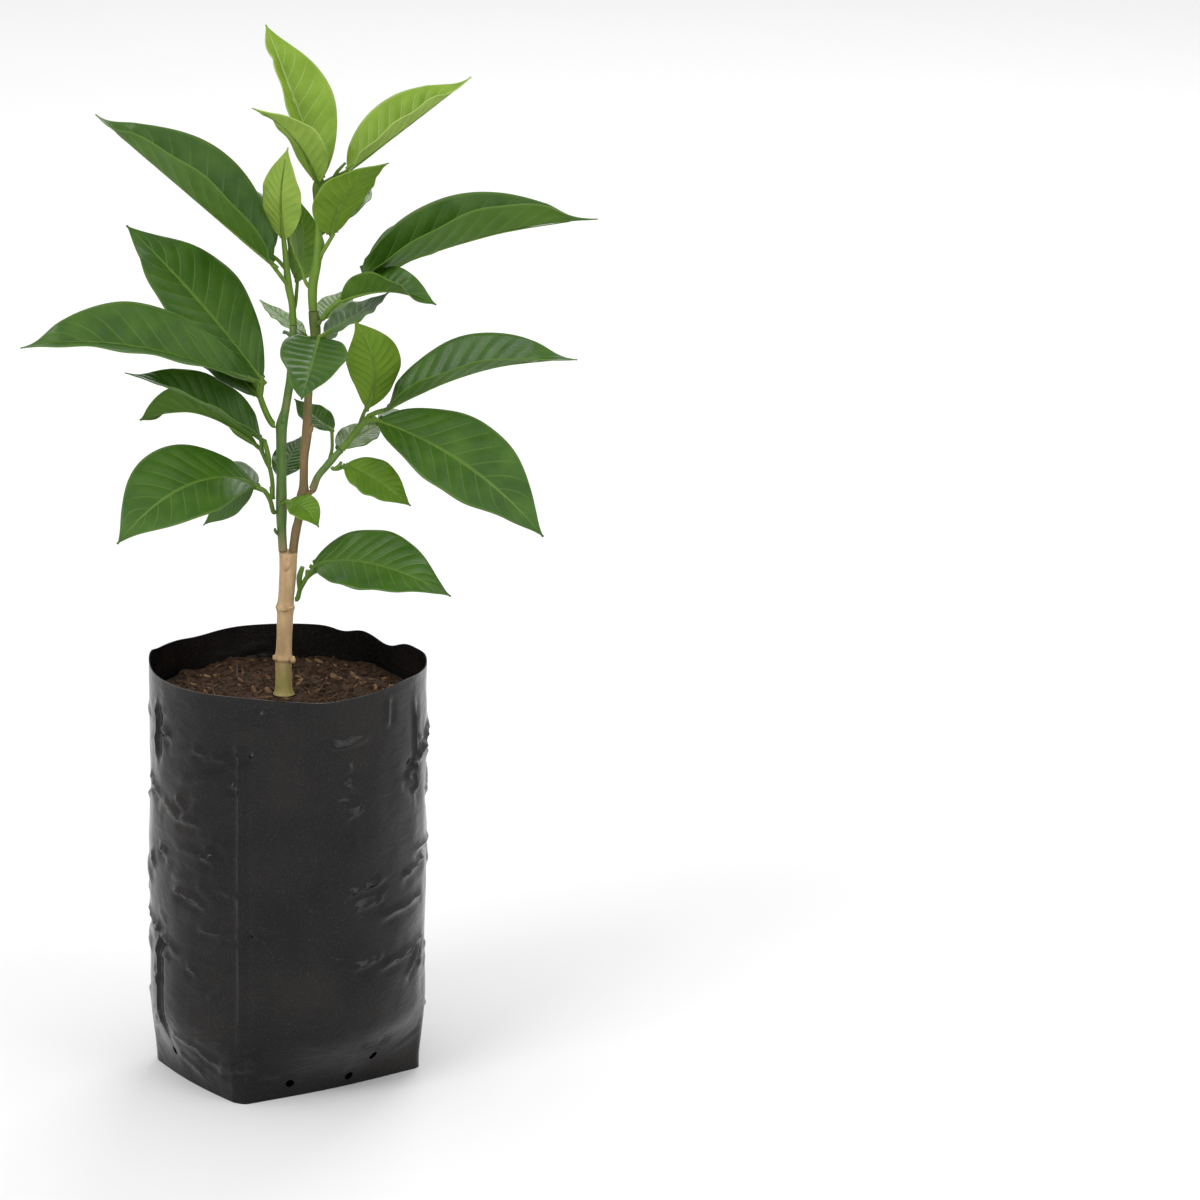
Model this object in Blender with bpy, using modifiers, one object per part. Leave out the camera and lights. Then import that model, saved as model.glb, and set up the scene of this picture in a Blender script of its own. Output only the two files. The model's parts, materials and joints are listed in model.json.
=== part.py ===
"""A young orange tree standing in a black film grow bag, ready to plant out.

Written in metres with +Z up. Places and sizes of the plant are given in millimetres in the
tables below and scaled by MM. The origin is the centre of the bag's flat underside.
"""

import math

import bmesh
import bpy
import numpy as np
from mathutils import Vector

MM = 0.001

# The bag: a gusseted film bag whose rectangular foot opens into a round body.
BAG_RADIUS = 0.0643
BAG_HEIGHT = 0.1953
FILM = 0.001
FOOT_LENGTH = 0.100
FOOT_WIDTH = 0.079
FOOT_CORNER = 0.006
FOOT_BULGE = 0.0025
FOOT_TURN = math.radians(31.5)
FOOT_HEIGHT = 0.038
BAG_SIDES = 48
BAG_LEVELS = (0.0, 0.004, 0.011, 0.020, 0.030, 0.042, 0.090, 0.140, 0.180, 1.0)
# The free rim dips and rises: compass angle in degrees, height in mm, spread in degrees.
RIM_WAVES = ((175, 3.5, 12), (131, -1.5, 12), (43, -4.5, 9), (66, -2.0, 6), (-75, -1.0, 10),
             (-33, 2.0, 18), (-108, 1.2, 20), (8, 1.5, 10))
# Drain holes punched through the film: compass angle in degrees, height in mm.
DRAIN_HOLES = ((-159, 13), (-89, 7), (-38, 14), (-50, 5), (21, 12), (68, 7), (118, 13), (150, 6))
DRAIN_RADIUS = 0.0020
PUNCH_SIDES = 10
PUNCH_LENGTH = 0.012

# The potting mix fills the bag to just under the rim.
MIX_TOP = 0.1800
MIX_CLEAR = 0.0018
MIX_LUMP = 0.0016
MIX_RINGS = (0.97, 0.86, 0.70, 0.52, 0.34, 0.18)
COLLAR_RADIUS = 0.012

JOINT_GAP = 0.0003
LEAF_THICKNESS = 0.0012
LEAF_ROWS = 8
LEAF_COLUMNS = 4
LEAF_END = 0.0010
FOLD_FROM = 0.009
PETIOLE_ROOT = 0.14

# Woody stems as (x, y, z, radius) in mm, from the foot up.
TRUNK = ((-1.9, 0, 180.3, 5.0), (-1.9, 0, 183, 4.1), (-2.1, 0, 190, 3.8), (-2.1, 0, 197.5, 4.2),
         (-1.9, 0, 201, 3.7), (-1.5, 0, 211, 3.7), (-1.2, 0, 222, 4.2), (-1.0, 0, 226, 3.8),
         (-0.2, 0, 236, 3.9), (0.1, 0, 245, 4.1), (0.1, 0, 248.4, 4.3))
LEFT_STEM = ((-2.3, 1.0, 248.7, 2.1), (-2.5, 1.3, 252, 2.1), (-2.9, 2.0, 259, 2.2), (-3.0, 3.0, 269, 2.6),
             (-3.0, 4.0, 284, 2.3), (-3.0, 4.0, 301, 2.4), (-2.8, 4.0, 308, 2.6), (-1.1, 4.0, 315, 2.0),
             (0.2, 4.0, 323, 2.0), (1.3, 4.0, 330, 2.1), (2.2, 4.0, 346, 1.7), (2.4, 4.0, 354.6, 1.8))
RIGHT_STEM = ((2.4, -1.0, 248.7, 2.0), (2.7, -1.0, 252, 2.0), (3.7, -1.0, 259, 2.1), (5.0, -1.0, 265, 2.0),
              (6.8, -1.0, 275, 2.9), (7.2, -1.0, 281, 2.1), (7.4, -1.0, 294, 2.0), (8.6, -1.0, 306, 2.3),
              (9.3, -1.0, 323, 1.8), (11.2, -1.0, 341, 2.0), (12.5, -1.0, 350, 2.4), (12.0, -1.0, 358, 2.6),
              (11.4, -1.0, 362.4, 2.2))
RIGHT_BOUGH = ((10.3, -1.0, 278.3, 1.7), (11.3, -1.1, 278.7, 1.8), (13.9, -2.0, 285, 1.6),
               (19.6, -2.0, 292, 1.7), (22.6, -2.0, 295.6, 1.5), (24.2, -2.0, 297.3, 1.6))

# Each mass is one shoot: its stem, its side twigs and petioles, and its leaves, in mm and degrees.
# A leaf runs from base to tip, its upper side looks along face, and its midrib is pushed off the
# straight line by bow. fold lifts the left and the right half, seen from the base with the upper
# side up. broad is where along its length the leaf is widest.
SHOOTS = {
    "crown_leaves": {
        "stem": ((11.3, -1.0, 362.8, 2.0), (11.2, -1.0, 374, 2.2), (13.2, -1.0, 387, 2.2),
                 (14.0, -1.0, 404, 1.6), (12.8, -1.0, 415, 1.5), (12.6, -1.0, 421, 1.4), (15.0, 0, 426, 1.0)),
        "twigs": (((11.0, -1.0, 372.5, 1.0), (8.2, -1.0, 375.5, 0.9), (6.4, 0, 381, 0.7),
                  (3.6, 2.0, 387, 0.7)),
                  ((13.6, -1.5, 387, 1.2), (16.8, -2.0, 392, 1.0), (20.8, -3.0, 399, 0.9)),
                  ((13.5, 0, 420, 1.0), (20, 1.5, 423.5, 1.0), (28, 2.0, 427.3, 0.9)),
                  ((14.5, -0.5, 398, 1.0), (18.5, 3.0, 400, 0.9), (21, 6, 402, 0.9)),
                  ((20.6, 1.4, 423.6, 0.9), (22.4, 0.5, 427.0, 0.8), (26.0, 0.5, 431.0, 0.6)),
                  ((14.8, 0, 424, 1.1), (17.0, -0.6, 429.0, 1.1), (17.6, -0.8, 433.5, 0.8)),
                  ((12.7, -0.6, 418.0, 1.2), (14.2, 1.2, 421.0, 1.1), (15.0, 3.0, 423.6, 1.0))),
        "leaves": {
            "tip_leaf": {"base": (15, 3, 423), "tip": (-10, 22, 490), "width": 36, "face": (0.35, -1, 0.3),
                         "fold": (60, 10), "bow": (0.5, 0, 0), "broad": 0.48},
            "curled_leaf": {"base": (13, -2, 423), "tip": (-16, -32, 463), "width": 25,
                            "face": (0.5, 0.6, 0.75), "fold": (20, 20), "bow": (3, 0, 5)},
            "flag_leaf": {"base": (27, 2, 427), "tip": (83, 14, 468), "width": 34, "face": (-0.2, 0, 1),
                          "fold": (68, 32)},
            "cupped_leaf": {"base": (20, -3, 399), "tip": (45, -36, 439), "width": 27,
                            "face": (-0.4, 0.8, 0.6), "fold": (8, 12), "bow": (-5, 0, 4), "broad": 0.4},
            "sliver_leaf": {"base": (4, 3, 386), "tip": (0, 10, 404), "width": 8, "face": (1, -0.3, 0.4)},
            "back_leaf": {"base": (21, 6, 402), "tip": (33, 66, 407), "width": 24, "face": (0.1, -0.2, 1),
                          "bow": (0, 0, 4)},
        },
    },
    "left_top_leaves": {
        "stem": ((2.4, 4.0, 355.0, 1.7), (1.8, 4.0, 364.4, 1.6), (0.2, 4.0, 373.3, 1.8),
                 (-0.9, 4.0, 384.0, 1.4),
                 (-1.8, 4.0, 393, 1.2), (-2.2, 4.0, 396, 1.0)),
        "twigs": (((1.6, 5.0, 359.0, 0.9), (3.2, 6.4, 363.0, 0.9), (4.0, 7.4, 370.0, 0.8),
                  (4.4, 8.0, 376, 0.8)),
                  ((0.2, 3.6, 373.0, 1.1), (-3.2, 1.4, 378.0, 1.0), (-7.3, 0, 384.0, 1.0)),
                  ((-0.6, 4.6, 380.0, 1.0), (-4.5, 7.5, 384.0, 0.9), (-9, 9, 387, 0.9))),
        "leaves": {
            "pale_leaf": {"base": (-2, 4, 395), "tip": (0, -18, 442), "width": 20, "face": (0.5, 0.9, 0.3),
                          "fold": (5, 5), "bow": (-2, 0, 0)},
            "shaded_leaf": {"base": (4, 8, 375), "tip": (4, 32, 408), "width": 22, "face": (0.7, -0.8, 0.4),
                            "bow": (3, 0, 0)},
            "wing_leaf": {"base": (-7, 0, 384), "tip": (-87, 10, 451), "width": 54, "face": (0, 0, 1),
                          "fold": (41, 70), "broad": 0.45},
            "back_leaf": {"base": (-9, 9, 387), "tip": (-41, 68, 413), "width": 30, "face": (0.1, -0.2, 1),
                          "bow": (0, 0, 4)},
        },
    },
    "upper_left_leaves": {
        "stem": ((-5.9, 3.9, 307.7, 1.5), (-7.0, 3.8, 308.0, 1.5), (-9.3, 3.0, 312.0, 1.5),
                 (-12.3, 2.0, 320.0, 1.4), (-13.6, 1.0, 326.0, 1.3)),
        "twigs": (((-13.0, 1.5, 323.0, 1.0), (-13.8, 0.4, 327.5, 1.1), (-14.4, 0, 329.2, 1.0)),
                  ((-12.6, 2.0, 321.0, 1.1), (-11.8, 5.0, 325.5, 1.0), (-12, 8, 328, 1.0)),
                  ((-10.5, 3.0, 314.5, 1.0), (-12.0, 6.6, 317.5, 0.9), (-14, 10, 320, 0.9)),
                  ((-10.2, 3.4, 313.8, 1.0), (-12.0, 10.0, 318.0, 0.9), (-16, 15, 325, 0.9)),
                  ((-12.6, 1.2, 323, 1.2), (-12.0, 0.4, 328.5, 1.2), (-11.8, 0.2, 331.5, 0.9))),
        "leaves": {
            "broad_leaf": {"base": (-12, 8, 328), "tip": (-74, 38, 393), "width": 44,
                           "face": (0.35, -0.9, 0.6),
                           "fold": (25, 5), "bow": (2, 0, 1), "broad": 0.5},
            "long_leaf": {"base": (-14, 0, 329), "tip": (-121, -14, 348), "width": 46, "face": (0, 0, 1),
                          "fold": (6, 58), "bow": (0, 0, 8.5), "peak": 0.55, "broad": 0.5},
            "under_leaf": {"base": (-14, 10, 320), "tip": (-45, 44, 334), "width": 22, "face": (0, -0.3, 1),
                           "bow": (0, 0, 3)},
            "back_leaf": {"base": (-16, 15, 325), "tip": (-50, 82, 351), "width": 30, "face": (0.2, -0.3, 1),
                          "bow": (0, 0, 5)},
        },
    },
    "middle_left_leaves": {
        "stem": ((-5.95, 3.3, 273.6, 1.0), (-7.0, 3.2, 274.0, 1.0), (-7.1, 2.8, 280, 1.0),
                 (-8.2, 2.4, 287, 1.0),
                 (-10.0, 2.8, 290.6, 1.0), (-12.8, 3.6, 297.0, 0.9)),
        "twigs": (((-11.8, 3.2, 295.0, 0.9), (-12.2, 2.4, 299.0, 0.9), (-12.4, 2, 301.0, 0.9)),
                  ((-11.8, 3.4, 294.8, 0.9), (-13, 6, 296.5, 0.9)),
                  ((-8.6, 2.0, 288.0, 0.9), (-9.0, 1.6, 293.0, 1.2), (-10.6, 1.4, 300.5, 1.0))),
        "leaves": {
            "dark_leaf": {"base": (-12, 2, 301), "tip": (-74, -8, 335), "width": 31, "face": (0, 0, 1),
                          "fold": (12, 58), "bow": (0, 0, 4), "broad": 0.38},
            "turned_leaf": {"base": (-13, 6, 296), "tip": (-68, 22, 305), "width": 28, "face": (0, 0.9, 0.5),
                            "fold": (5, 65), "bow": (0, 0, 10), "broad": 0.6},
        },
    },
    "lower_left_leaves": {
        "stem": ((-5.8, 1.5, 267.0, 1.1), (-6.8, 1.0, 267.3, 1.1), (-7.9, 0.2, 272.0, 1.1),
                 (-9.6, -0.8, 276.0, 1.1),
                 (-11.6, -1.6, 278.4, 1.1), (-15.0, -2.0, 279.9, 1.0)),
        "twigs": (((-10.5, -1.2, 277.4, 0.9), (-13.2, 2.0, 277.6, 0.9), (-16, 4, 278, 0.8)),
                  ((-10.0, -1.0, 276.6, 0.9), (-11.5, 3.0, 276.8, 0.9), (-15, 8, 278, 0.9)),
                  ((-7.9, 0, 273.0, 0.8), (-7.4, -0.8, 276.5, 1.0), (-7.8, -1.0, 279.5, 0.8))),
        "leaves": {
            "drooping_leaf": {"base": (-15, -2, 280), "tip": (-77, -50, 266), "width": 45,
                              "face": (-0.1, -0.5, 0.9), "fold": (0, 24), "bow": (-2, 0, 13), "peak": 0.45,
                              "broad": 0.5},
            "hidden_leaf": {"base": (-16, 4, 278), "tip": (-39, 18, 256), "width": 13,
                            "face": (0.1, -0.8, 0.6), "bow": (0, 0, 1)},
            "back_leaf": {"base": (-15, 8, 278), "tip": (-59, 68, 265), "width": 26, "face": (0.1, -0.2, 1),
                          "bow": (0, 0, 5)},
        },
    },
    "front_bud_leaf": {
        "stem": ((-2.6, 0.2, 271.4, 0.8), (-2.4, -0.9, 271.6, 0.8), (-1.2, -4.0, 273.4, 0.7),
                 (0.3, -5.8, 273.9, 0.7)),
        "twigs": (),
        "leaves": {
            "small_leaf": {"base": (0, -6, 274), "tip": (14, -18, 265), "width": 15, "face": (0.1, -0.4, 0.9),
                           "fold": (40, 0), "bow": (1, 0, 2)},
        },
    },
    "low_back_leaf": {
        "stem": ((-3.1, 6.5, 279.8, 0.9), (-3.2, 7.6, 280.2, 0.9), (-4.0, 9.0, 282.4, 0.8)),
        "twigs": (),
        "leaves": {
            "back_leaf": {"base": (-4, 9, 282), "tip": (6, 38, 293), "width": 15, "face": (0, -0.8, 0.7)},
        },
    },
    "right_leaves": {
        "stem": ((24.5, -2.0, 297.6, 1.6), (28.3, -2.0, 302.2, 1.5), (32.0, -2.0, 307.2, 1.7),
                 (35.6, -2.0, 311.6, 1.4),
                 (37.4, -2.0, 313.6, 1.3)),
        "twigs": (((35.0, -2.4, 311.0, 1.0), (38.0, -4.0, 312.2, 1.0), (41, -5, 312.2, 1.0)),
                  ((37.0, -2.0, 313.4, 1.1), (41.1, -1.0, 315.0, 1.1), (45.2, 0, 315.8, 1.0)),
                  ((32.0, -1.8, 307.0, 1.0), (33.8, 0.6, 311.8, 0.9), (35.5, 2.0, 315.7, 0.9)),
                  ((26.0, -1.0, 299.5, 0.9), (24.0, 5.0, 297.0, 0.8), (23, 8, 296, 0.8)),
                  ((34.0, -1.0, 309.5, 1.0), (39.0, 5.0, 308.0, 0.9), (44, 8, 307, 0.9))),
        "leaves": {
            "front_leaf": {"base": (41, -5, 312), "tip": (116, -34, 265), "width": 44,
                           "face": (0.2, -0.75, 0.7),
                           "fold": (12, 15), "bow": (3, 0, 6), "broad": 0.47},
            "arched_leaf": {"base": (45, 0, 316), "tip": (131, -22, 345), "width": 40, "face": (-0.1, 0, 1),
                            "fold": (58, 25), "bow": (0, 0, 7)},
            "bright_leaf": {"base": (36, 2, 316), "tip": (30, -14, 361), "width": 26, "face": (-0.2, 1, 0.3),
                            "fold": (10, 25), "bow": (6, 0, 0), "broad": 0.5},
            "shaded_leaf": {"base": (23, 8, 296), "tip": (44, 40, 299), "width": 16, "face": (0, -0.6, 0.8),
                            "fold": (10, 20)},
            "back_leaf": {"base": (44, 8, 307), "tip": (89, 75, 265), "width": 34, "face": (0.1, -0.2, 1),
                          "bow": (0, 0, 8)},
        },
    },
    "inner_right_leaf": {
        "stem": ((19.0, 0.1, 291.3, 0.9), (19.0, 1.4, 291.8, 0.9), (20.2, 3.2, 297.0, 0.8),
                 (20.0, 4.3, 305.6, 0.8)),
        "twigs": (),
        "leaves": {
            "inner_leaf": {"base": (20, 4, 305), "tip": (3, 30, 313), "width": 14, "face": (0.2, -0.6, 0.7),
                           "fold": (10, 20)},
        },
    },
    "small_right_leaf": {
        "stem": ((20.1, -3.3, 289.4, 0.9), (20.8, -3.8, 288.8, 0.9), (22.8, -3.4, 288.6, 0.8),
                 (25.6, -3.0, 289.8, 0.8)),
        "twigs": (((21.4, -3.6, 288.7, 0.9), (23.4, -3.8, 290.4, 0.9), (24.4, -3.8, 292.2, 0.7)),),
        "leaves": {
            "small_leaf": {"base": (26, -3, 290), "tip": (56, -14, 274), "width": 21,
                           "face": (0.1, -0.7, 0.7),
                           "fold": (10, 15), "bow": (0.5, 0, 1.5)},
        },
    },
    "upper_right_leaves": {
        "stem": ((15.1, -1.2, 359.0, 1.3), (16.1, -1.5, 359.4, 1.3), (18.6, -2.2, 363.0, 1.2),
                 (21.8, -2.6, 366.2, 1.2),
                 (25.2, -2.0, 369.6, 1.1), (30.0, -0.6, 374.4, 1.0), (33.6, 2.0, 378.0, 1.0)),
        "twigs": (((22.5, -2.6, 366.9, 0.9), (25.0, -3.8, 368.2, 0.9)),
                  ((29.0, -0.8, 373.4, 0.9), (33.0, 4.0, 375.0, 0.9), (38, 9, 378, 0.9))),
        "leaves": {
            "long_leaf": {"base": (34, 2, 378), "tip": (141, 10, 403), "width": 48, "face": (-0.1, 0, 1),
                          "fold": (78, 50), "twist": -50, "bow": (0, 0, 5), "peak": 0.55, "broad": 0.4},
            "twisted_leaf": {"base": (25, -4, 368), "tip": (67, -20, 370), "width": 27, "face": (0, 0, 1),
                             "fold": (55, 48), "twist": 70, "bow": (0, 0, 5.5)},
            "back_leaf": {"base": (38, 9, 378), "tip": (93, 78, 387), "width": 30, "face": (0.1, -0.2, 1),
                          "bow": (0, 0, 5)},
        },
    },
    "front_leaves": {
        "stem": ((12.6, -3.8, 349.6, 0.9), (12.8, -5.0, 349.9, 0.9), (13.6, -6.2, 351.0, 0.9)),
        "twigs": (((13.1, -5.5, 350.4, 0.8), (17.2, -5.4, 352.8, 0.8)),),
        "leaves": {
            "facing_leaf": {"base": (14, -6, 351), "tip": (6, -60, 336), "width": 33,
                            "face": (-0.15, -0.4, 1),
                            "fold": (8, 38), "broad": 0.4},
            "level_leaf": {"base": (17, -5.4, 352.8), "tip": (46, 12, 368), "width": 24,
                           "face": (-0.3, -0.05, 1),
                           "fold": (10, 5)},
        },
    },
    "behind_leaves": {
        "stem": ((10.6, 1.6, 345.6, 0.9), (10.2, 3.2, 346.0, 0.9), (9.8, 5.4, 346.6, 0.9)),
        "twigs": (((10.0, 4.6, 346.4, 0.8), (7.4, 8.2, 348.8, 0.8)),
                  ((9.9, 4.9, 346.4, 0.8), (13.0, 9.0, 351.0, 0.8), (15.0, 13.2, 355.4, 0.8))),
        "leaves": {
            "left_leaf": {"base": (7.4, 8.2, 349), "tip": (-13, 30, 360), "width": 14,
                          "face": (0, 0.15, 0.9)},
            "shaded_leaf": {"base": (15, 13, 355), "tip": (29, 50, 361), "width": 16,
                            "face": (-0.2, -0.5, 0.8)},
            "back_leaf": {"base": (9.8, 5.4, 346.5), "tip": (11, 70, 322), "width": 26, "face": (0, -0.2, 1),
                          "bow": (0, 0, 6)},
        },
    },
    "low_right_leaves": {
        "stem": ((3.3, -1.0, 226.0, 1.1), (4.4, -1.2, 226.5, 1.1), (5.6, -1.6, 231.0, 1.1),
                 (7.6, -2.2, 235.0, 1.1),
                 (9.4, -2.8, 238.4, 1.0), (11.9, -3.0, 241.5, 1.0)),
        "twigs": (((5.4, -1.6, 230.5, 1.0), (5.2, -2.2, 236.5, 1.3), (6.7, -2.8, 242.0, 1.0)),
                  ((8.8, -2.6, 237.2, 1.0), (9.0, -2.9, 240.4, 1.0)),
                  ((8.0, -2.2, 235.8, 0.9), (12.0, 2.0, 238.0, 0.9), (16, 5, 238, 0.9))),
        "leaves": {
            "low_leaf": {"base": (12, -3, 242), "tip": (74, -38, 238), "width": 36, "face": (0.1, -0.6, 0.8),
                         "fold": (15, 5), "bow": (0, 0, 7.5), "peak": 0.42},
            "back_leaf": {"base": (16, 5, 238), "tip": (53, 64, 227), "width": 22, "face": (0.1, -0.2, 1),
                          "bow": (0, 0, 4)},
        },
    },
}

FILM_BLACK = ((0.018, 0.019, 0.022), 0.38, 0.0)
MIX_BROWN = ((0.055, 0.030, 0.017), 0.95, 0.0)
BARK_TAN = ((0.33, 0.24, 0.14), 0.75, 0.0)
BARK_BROWN = ((0.25, 0.16, 0.10), 0.75, 0.0)
SHOOT_GREEN = ((0.10, 0.19, 0.035), 0.5, 0.0)
LEAF_GREEN = ((0.035, 0.115, 0.016), 0.32, 0.0)
YOUNG_GREEN = ((0.16, 0.32, 0.035), 0.35, 0.0)


def material(name, finish):
    colour, roughness, metallic = finish
    made = bpy.data.materials.new(name)
    made.use_nodes = True
    shader = made.node_tree.nodes["Principled BSDF"]
    shader.inputs["Base Color"].default_value = (*colour, 1.0)
    shader.inputs["Roughness"].default_value = roughness
    shader.inputs["Metallic"].default_value = metallic
    return made


def collection(name, parent=None):
    made = bpy.data.collections.new(name)
    (parent or bpy.context.scene.collection).children.link(made)
    return made


def object_of(bm, name, home):
    mesh = bpy.data.meshes.new(name)
    bm.to_mesh(mesh)
    bm.free()
    made = bpy.data.objects.new(name, mesh)
    home.objects.link(made)
    return made


# Bag and potting mix

def foot_radius(angle):
    """Distance from the axis to the edge of the rounded rectangular foot, along a compass angle."""
    turned = angle - FOOT_TURN
    x, y = abs(math.cos(turned)), abs(math.sin(turned))
    half_x, half_y = FOOT_LENGTH / 2, FOOT_WIDTH / 2
    square = min(half_x / max(x, 1e-6), half_y / max(y, 1e-6))
    corner_x, corner_y = half_x - FOOT_CORNER, half_y - FOOT_CORNER
    if square * x > corner_x and square * y > corner_y:
        along = x * corner_x + y * corner_y
        across = corner_x ** 2 + corner_y ** 2 - FOOT_CORNER ** 2
        square = along + math.sqrt(max(along ** 2 - across, 0.0))
    on_long_side = square * y > corner_y
    middle = 1.0 - (square * x / half_x) ** 2 if on_long_side else 1.0 - (square * y / half_y) ** 2
    return square + FOOT_BULGE * max(middle, 0.0)


def bag_radius(angle, height):
    """The film runs from the rectangular foot into the round body over FOOT_HEIGHT."""
    part = min(height / FOOT_HEIGHT, 1.0)
    blend = part * part * (3.0 - 2.0 * part)
    return foot_radius(angle) * (1.0 - blend) + BAG_RADIUS * blend


def rim_height(angle):
    height = BAG_HEIGHT
    for centre, lift, spread in RIM_WAVES:
        away = (math.degrees(angle) - centre + 180.0) % 360.0 - 180.0
        height += lift * MM * math.exp(-(away / spread) ** 2)
    return height


def ring_points(height, inset, top=None):
    """One turn of the bag's outline; a height of 1.0 means the free rim."""
    points = []
    for side in range(BAG_SIDES):
        angle = math.tau * side / BAG_SIDES
        level = height if top is None else top(angle)
        radius = bag_radius(angle, level) - inset
        points.append(Vector((radius * math.cos(angle), radius * math.sin(angle), level)))
    return points


def loft(rings):
    """A skin through the rings, closed by a flat face under the first of them."""
    bm = bmesh.new()
    loops = [[bm.verts.new(point) for point in ring] for ring in rings]
    bm.faces.new(reversed(loops[0]))
    for lower, upper in zip(loops, loops[1:]):
        for side in range(BAG_SIDES):
            after = (side + 1) % BAG_SIDES
            bm.faces.new((lower[side], lower[after], upper[after], upper[side]))
    return bm, loops


def make_bag(home, cutters):
    rings = [ring_points(level, 0.0, rim_height if level == 1.0 else None) for level in BAG_LEVELS]
    bm, _ = loft(rings)
    bag = object_of(bm, "grow_bag", home)
    wall = bag.modifiers.new("film", "SOLIDIFY")
    wall.thickness = FILM
    wall.offset = -1.0
    for number, (degrees, height) in enumerate(DRAIN_HOLES):
        angle = math.radians(degrees)
        radius = bag_radius(angle, height * MM)
        bpy.ops.mesh.primitive_cylinder_add(
            vertices=PUNCH_SIDES, radius=DRAIN_RADIUS, depth=PUNCH_LENGTH,
            location=(radius * math.cos(angle), radius * math.sin(angle), height * MM),
            rotation=(0.0, math.pi / 2, angle))
        punch = bpy.context.object
        punch.name = f"drain_punch_{number}"
        punch.hide_render = True
        punch.display_type = "WIRE"
        for owner in list(punch.users_collection):
            owner.objects.unlink(punch)
        cutters.objects.link(punch)
    holes = bag.modifiers.new("drain_holes", "BOOLEAN")
    holes.operation = "DIFFERENCE"
    holes.operand_type = "COLLECTION"
    holes.collection = cutters
    bag.data.materials.append(material("black_film", FILM_BLACK))
    return bag


def mix_height(x, y):
    """A lumpy surface, level round the foot of the trunk."""
    away = math.hypot(x - TRUNK[0][0] * MM, y)
    lumps = math.sin(210 * x + 1.3) * math.cos(170 * y - 0.4) + 0.6 * math.sin(330 * y + 240 * x)
    return MIX_TOP + MIX_LUMP * lumps * min(max(away / COLLAR_RADIUS - 1.0, 0.0), 1.0)


def make_mix(home):
    inset = FILM + MIX_CLEAR
    floor = FILM + JOINT_GAP
    side_top = MIX_TOP - 0.003
    levels = (floor, *(level for level in BAG_LEVELS if floor < level < side_top), side_top)
    bm, loops = loft([ring_points(level, inset) for level in levels])
    last = loops[-1]
    for share in MIX_RINGS:
        ring = []
        for side in range(BAG_SIDES):
            angle = math.tau * side / BAG_SIDES
            reach = (BAG_RADIUS - inset) * share
            x, y = reach * math.cos(angle), reach * math.sin(angle)
            ring.append(bm.verts.new((x, y, mix_height(x, y))))
        for side in range(BAG_SIDES):
            after = (side + 1) % BAG_SIDES
            bm.faces.new((last[side], last[after], ring[after], ring[side]))
        last = ring
    bm.faces.new(last)
    mix = object_of(bm, "potting_mix", home)
    mix.data.materials.append(material("potting_mix", MIX_BROWN))
    return mix


# Stems

def make_tube(points, name, home, resolution=2):
    """A tapered round stem through (x, y, z, radius) points in mm, made a closed mesh."""
    curve = bpy.data.curves.new(name, "CURVE")
    curve.dimensions = "3D"
    curve.bevel_depth = MM
    curve.bevel_resolution = resolution
    curve.use_fill_caps = True
    spline = curve.splines.new("POLY")
    spline.points.add(len(points) - 1)
    for place, (x, y, z, radius) in zip(spline.points, points):
        place.co = (x * MM, y * MM, z * MM, 1.0)
        place.radius = radius
    rod = bpy.data.objects.new(name + "_path", curve)
    home.objects.link(rod)
    bpy.context.view_layer.update()
    evaluated = rod.evaluated_get(bpy.context.evaluated_depsgraph_get())
    mesh = bpy.data.meshes.new_from_object(evaluated)
    bm = bmesh.new()
    bm.from_mesh(mesh)
    bmesh.ops.remove_doubles(bm, verts=bm.verts, dist=1e-6)
    bm.to_mesh(mesh)
    bm.free()
    tube = bpy.data.objects.new(name, mesh)
    tube.matrix_world = rod.matrix_world
    home.objects.link(tube)
    bpy.data.objects.remove(rod)
    bpy.data.curves.remove(curve)
    return tube


# Leaves

def unit(vectors):
    return vectors / np.linalg.norm(vectors, axis=-1, keepdims=True)


def half_width(along, broad):
    """Share of the half width along the leaf: rounded at the base, drawn out at the tip."""
    swell = along ** (math.log(0.5) / math.log(broad))
    return np.sin(math.pi * swell) ** (0.75 + 0.5 * along)


def leaf_points(leaf, rows, columns):
    """A grid of points over the blade in metres, from left edge to right edge and base to tip."""
    along = np.linspace(0.015, 0.985, rows + 1)
    base, tip, bow, face = (np.array(leaf.get(key, (0, 0, 0)), float) for key in ("base", "tip", "bow",
    "face"))
    swell = along ** (math.log(0.5) / math.log(leaf.get("peak", 0.5)))
    midrib = base + (tip - base) * along[:, None] + bow * (4 * swell * (1 - swell))[:, None]
    run = unit(np.gradient(midrib, along, axis=0))
    up = unit(face - (run @ face)[:, None] * run)
    turn = np.radians(leaf.get("twist", 0)) * (along - 0.5)
    right = np.cross(run, up)
    up = up * np.cos(turn)[:, None] + right * np.sin(turn)[:, None]
    right = np.cross(run, up)
    reach = np.maximum(leaf["width"] / 2 * half_width(along, leaf.get("broad", 0.42)), LEAF_END / MM)
    ease = np.clip((reach * MM - LEAF_END) / FOLD_FROM, 0.0, 1.0)
    left_fold, right_fold = leaf.get("fold", (10, 10))
    points = np.empty((rows + 1, columns + 1, 3))
    for column in range(columns + 1):
        across = 2.0 * column / columns - 1.0
        lift = np.radians(right_fold if across > 0 else left_fold) * ease
        points[:, column] = (midrib + right * (reach * across * np.cos(lift))[:, None]
                             + up * (reach * abs(across) * np.sin(lift))[:, None])
    return points * MM


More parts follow.
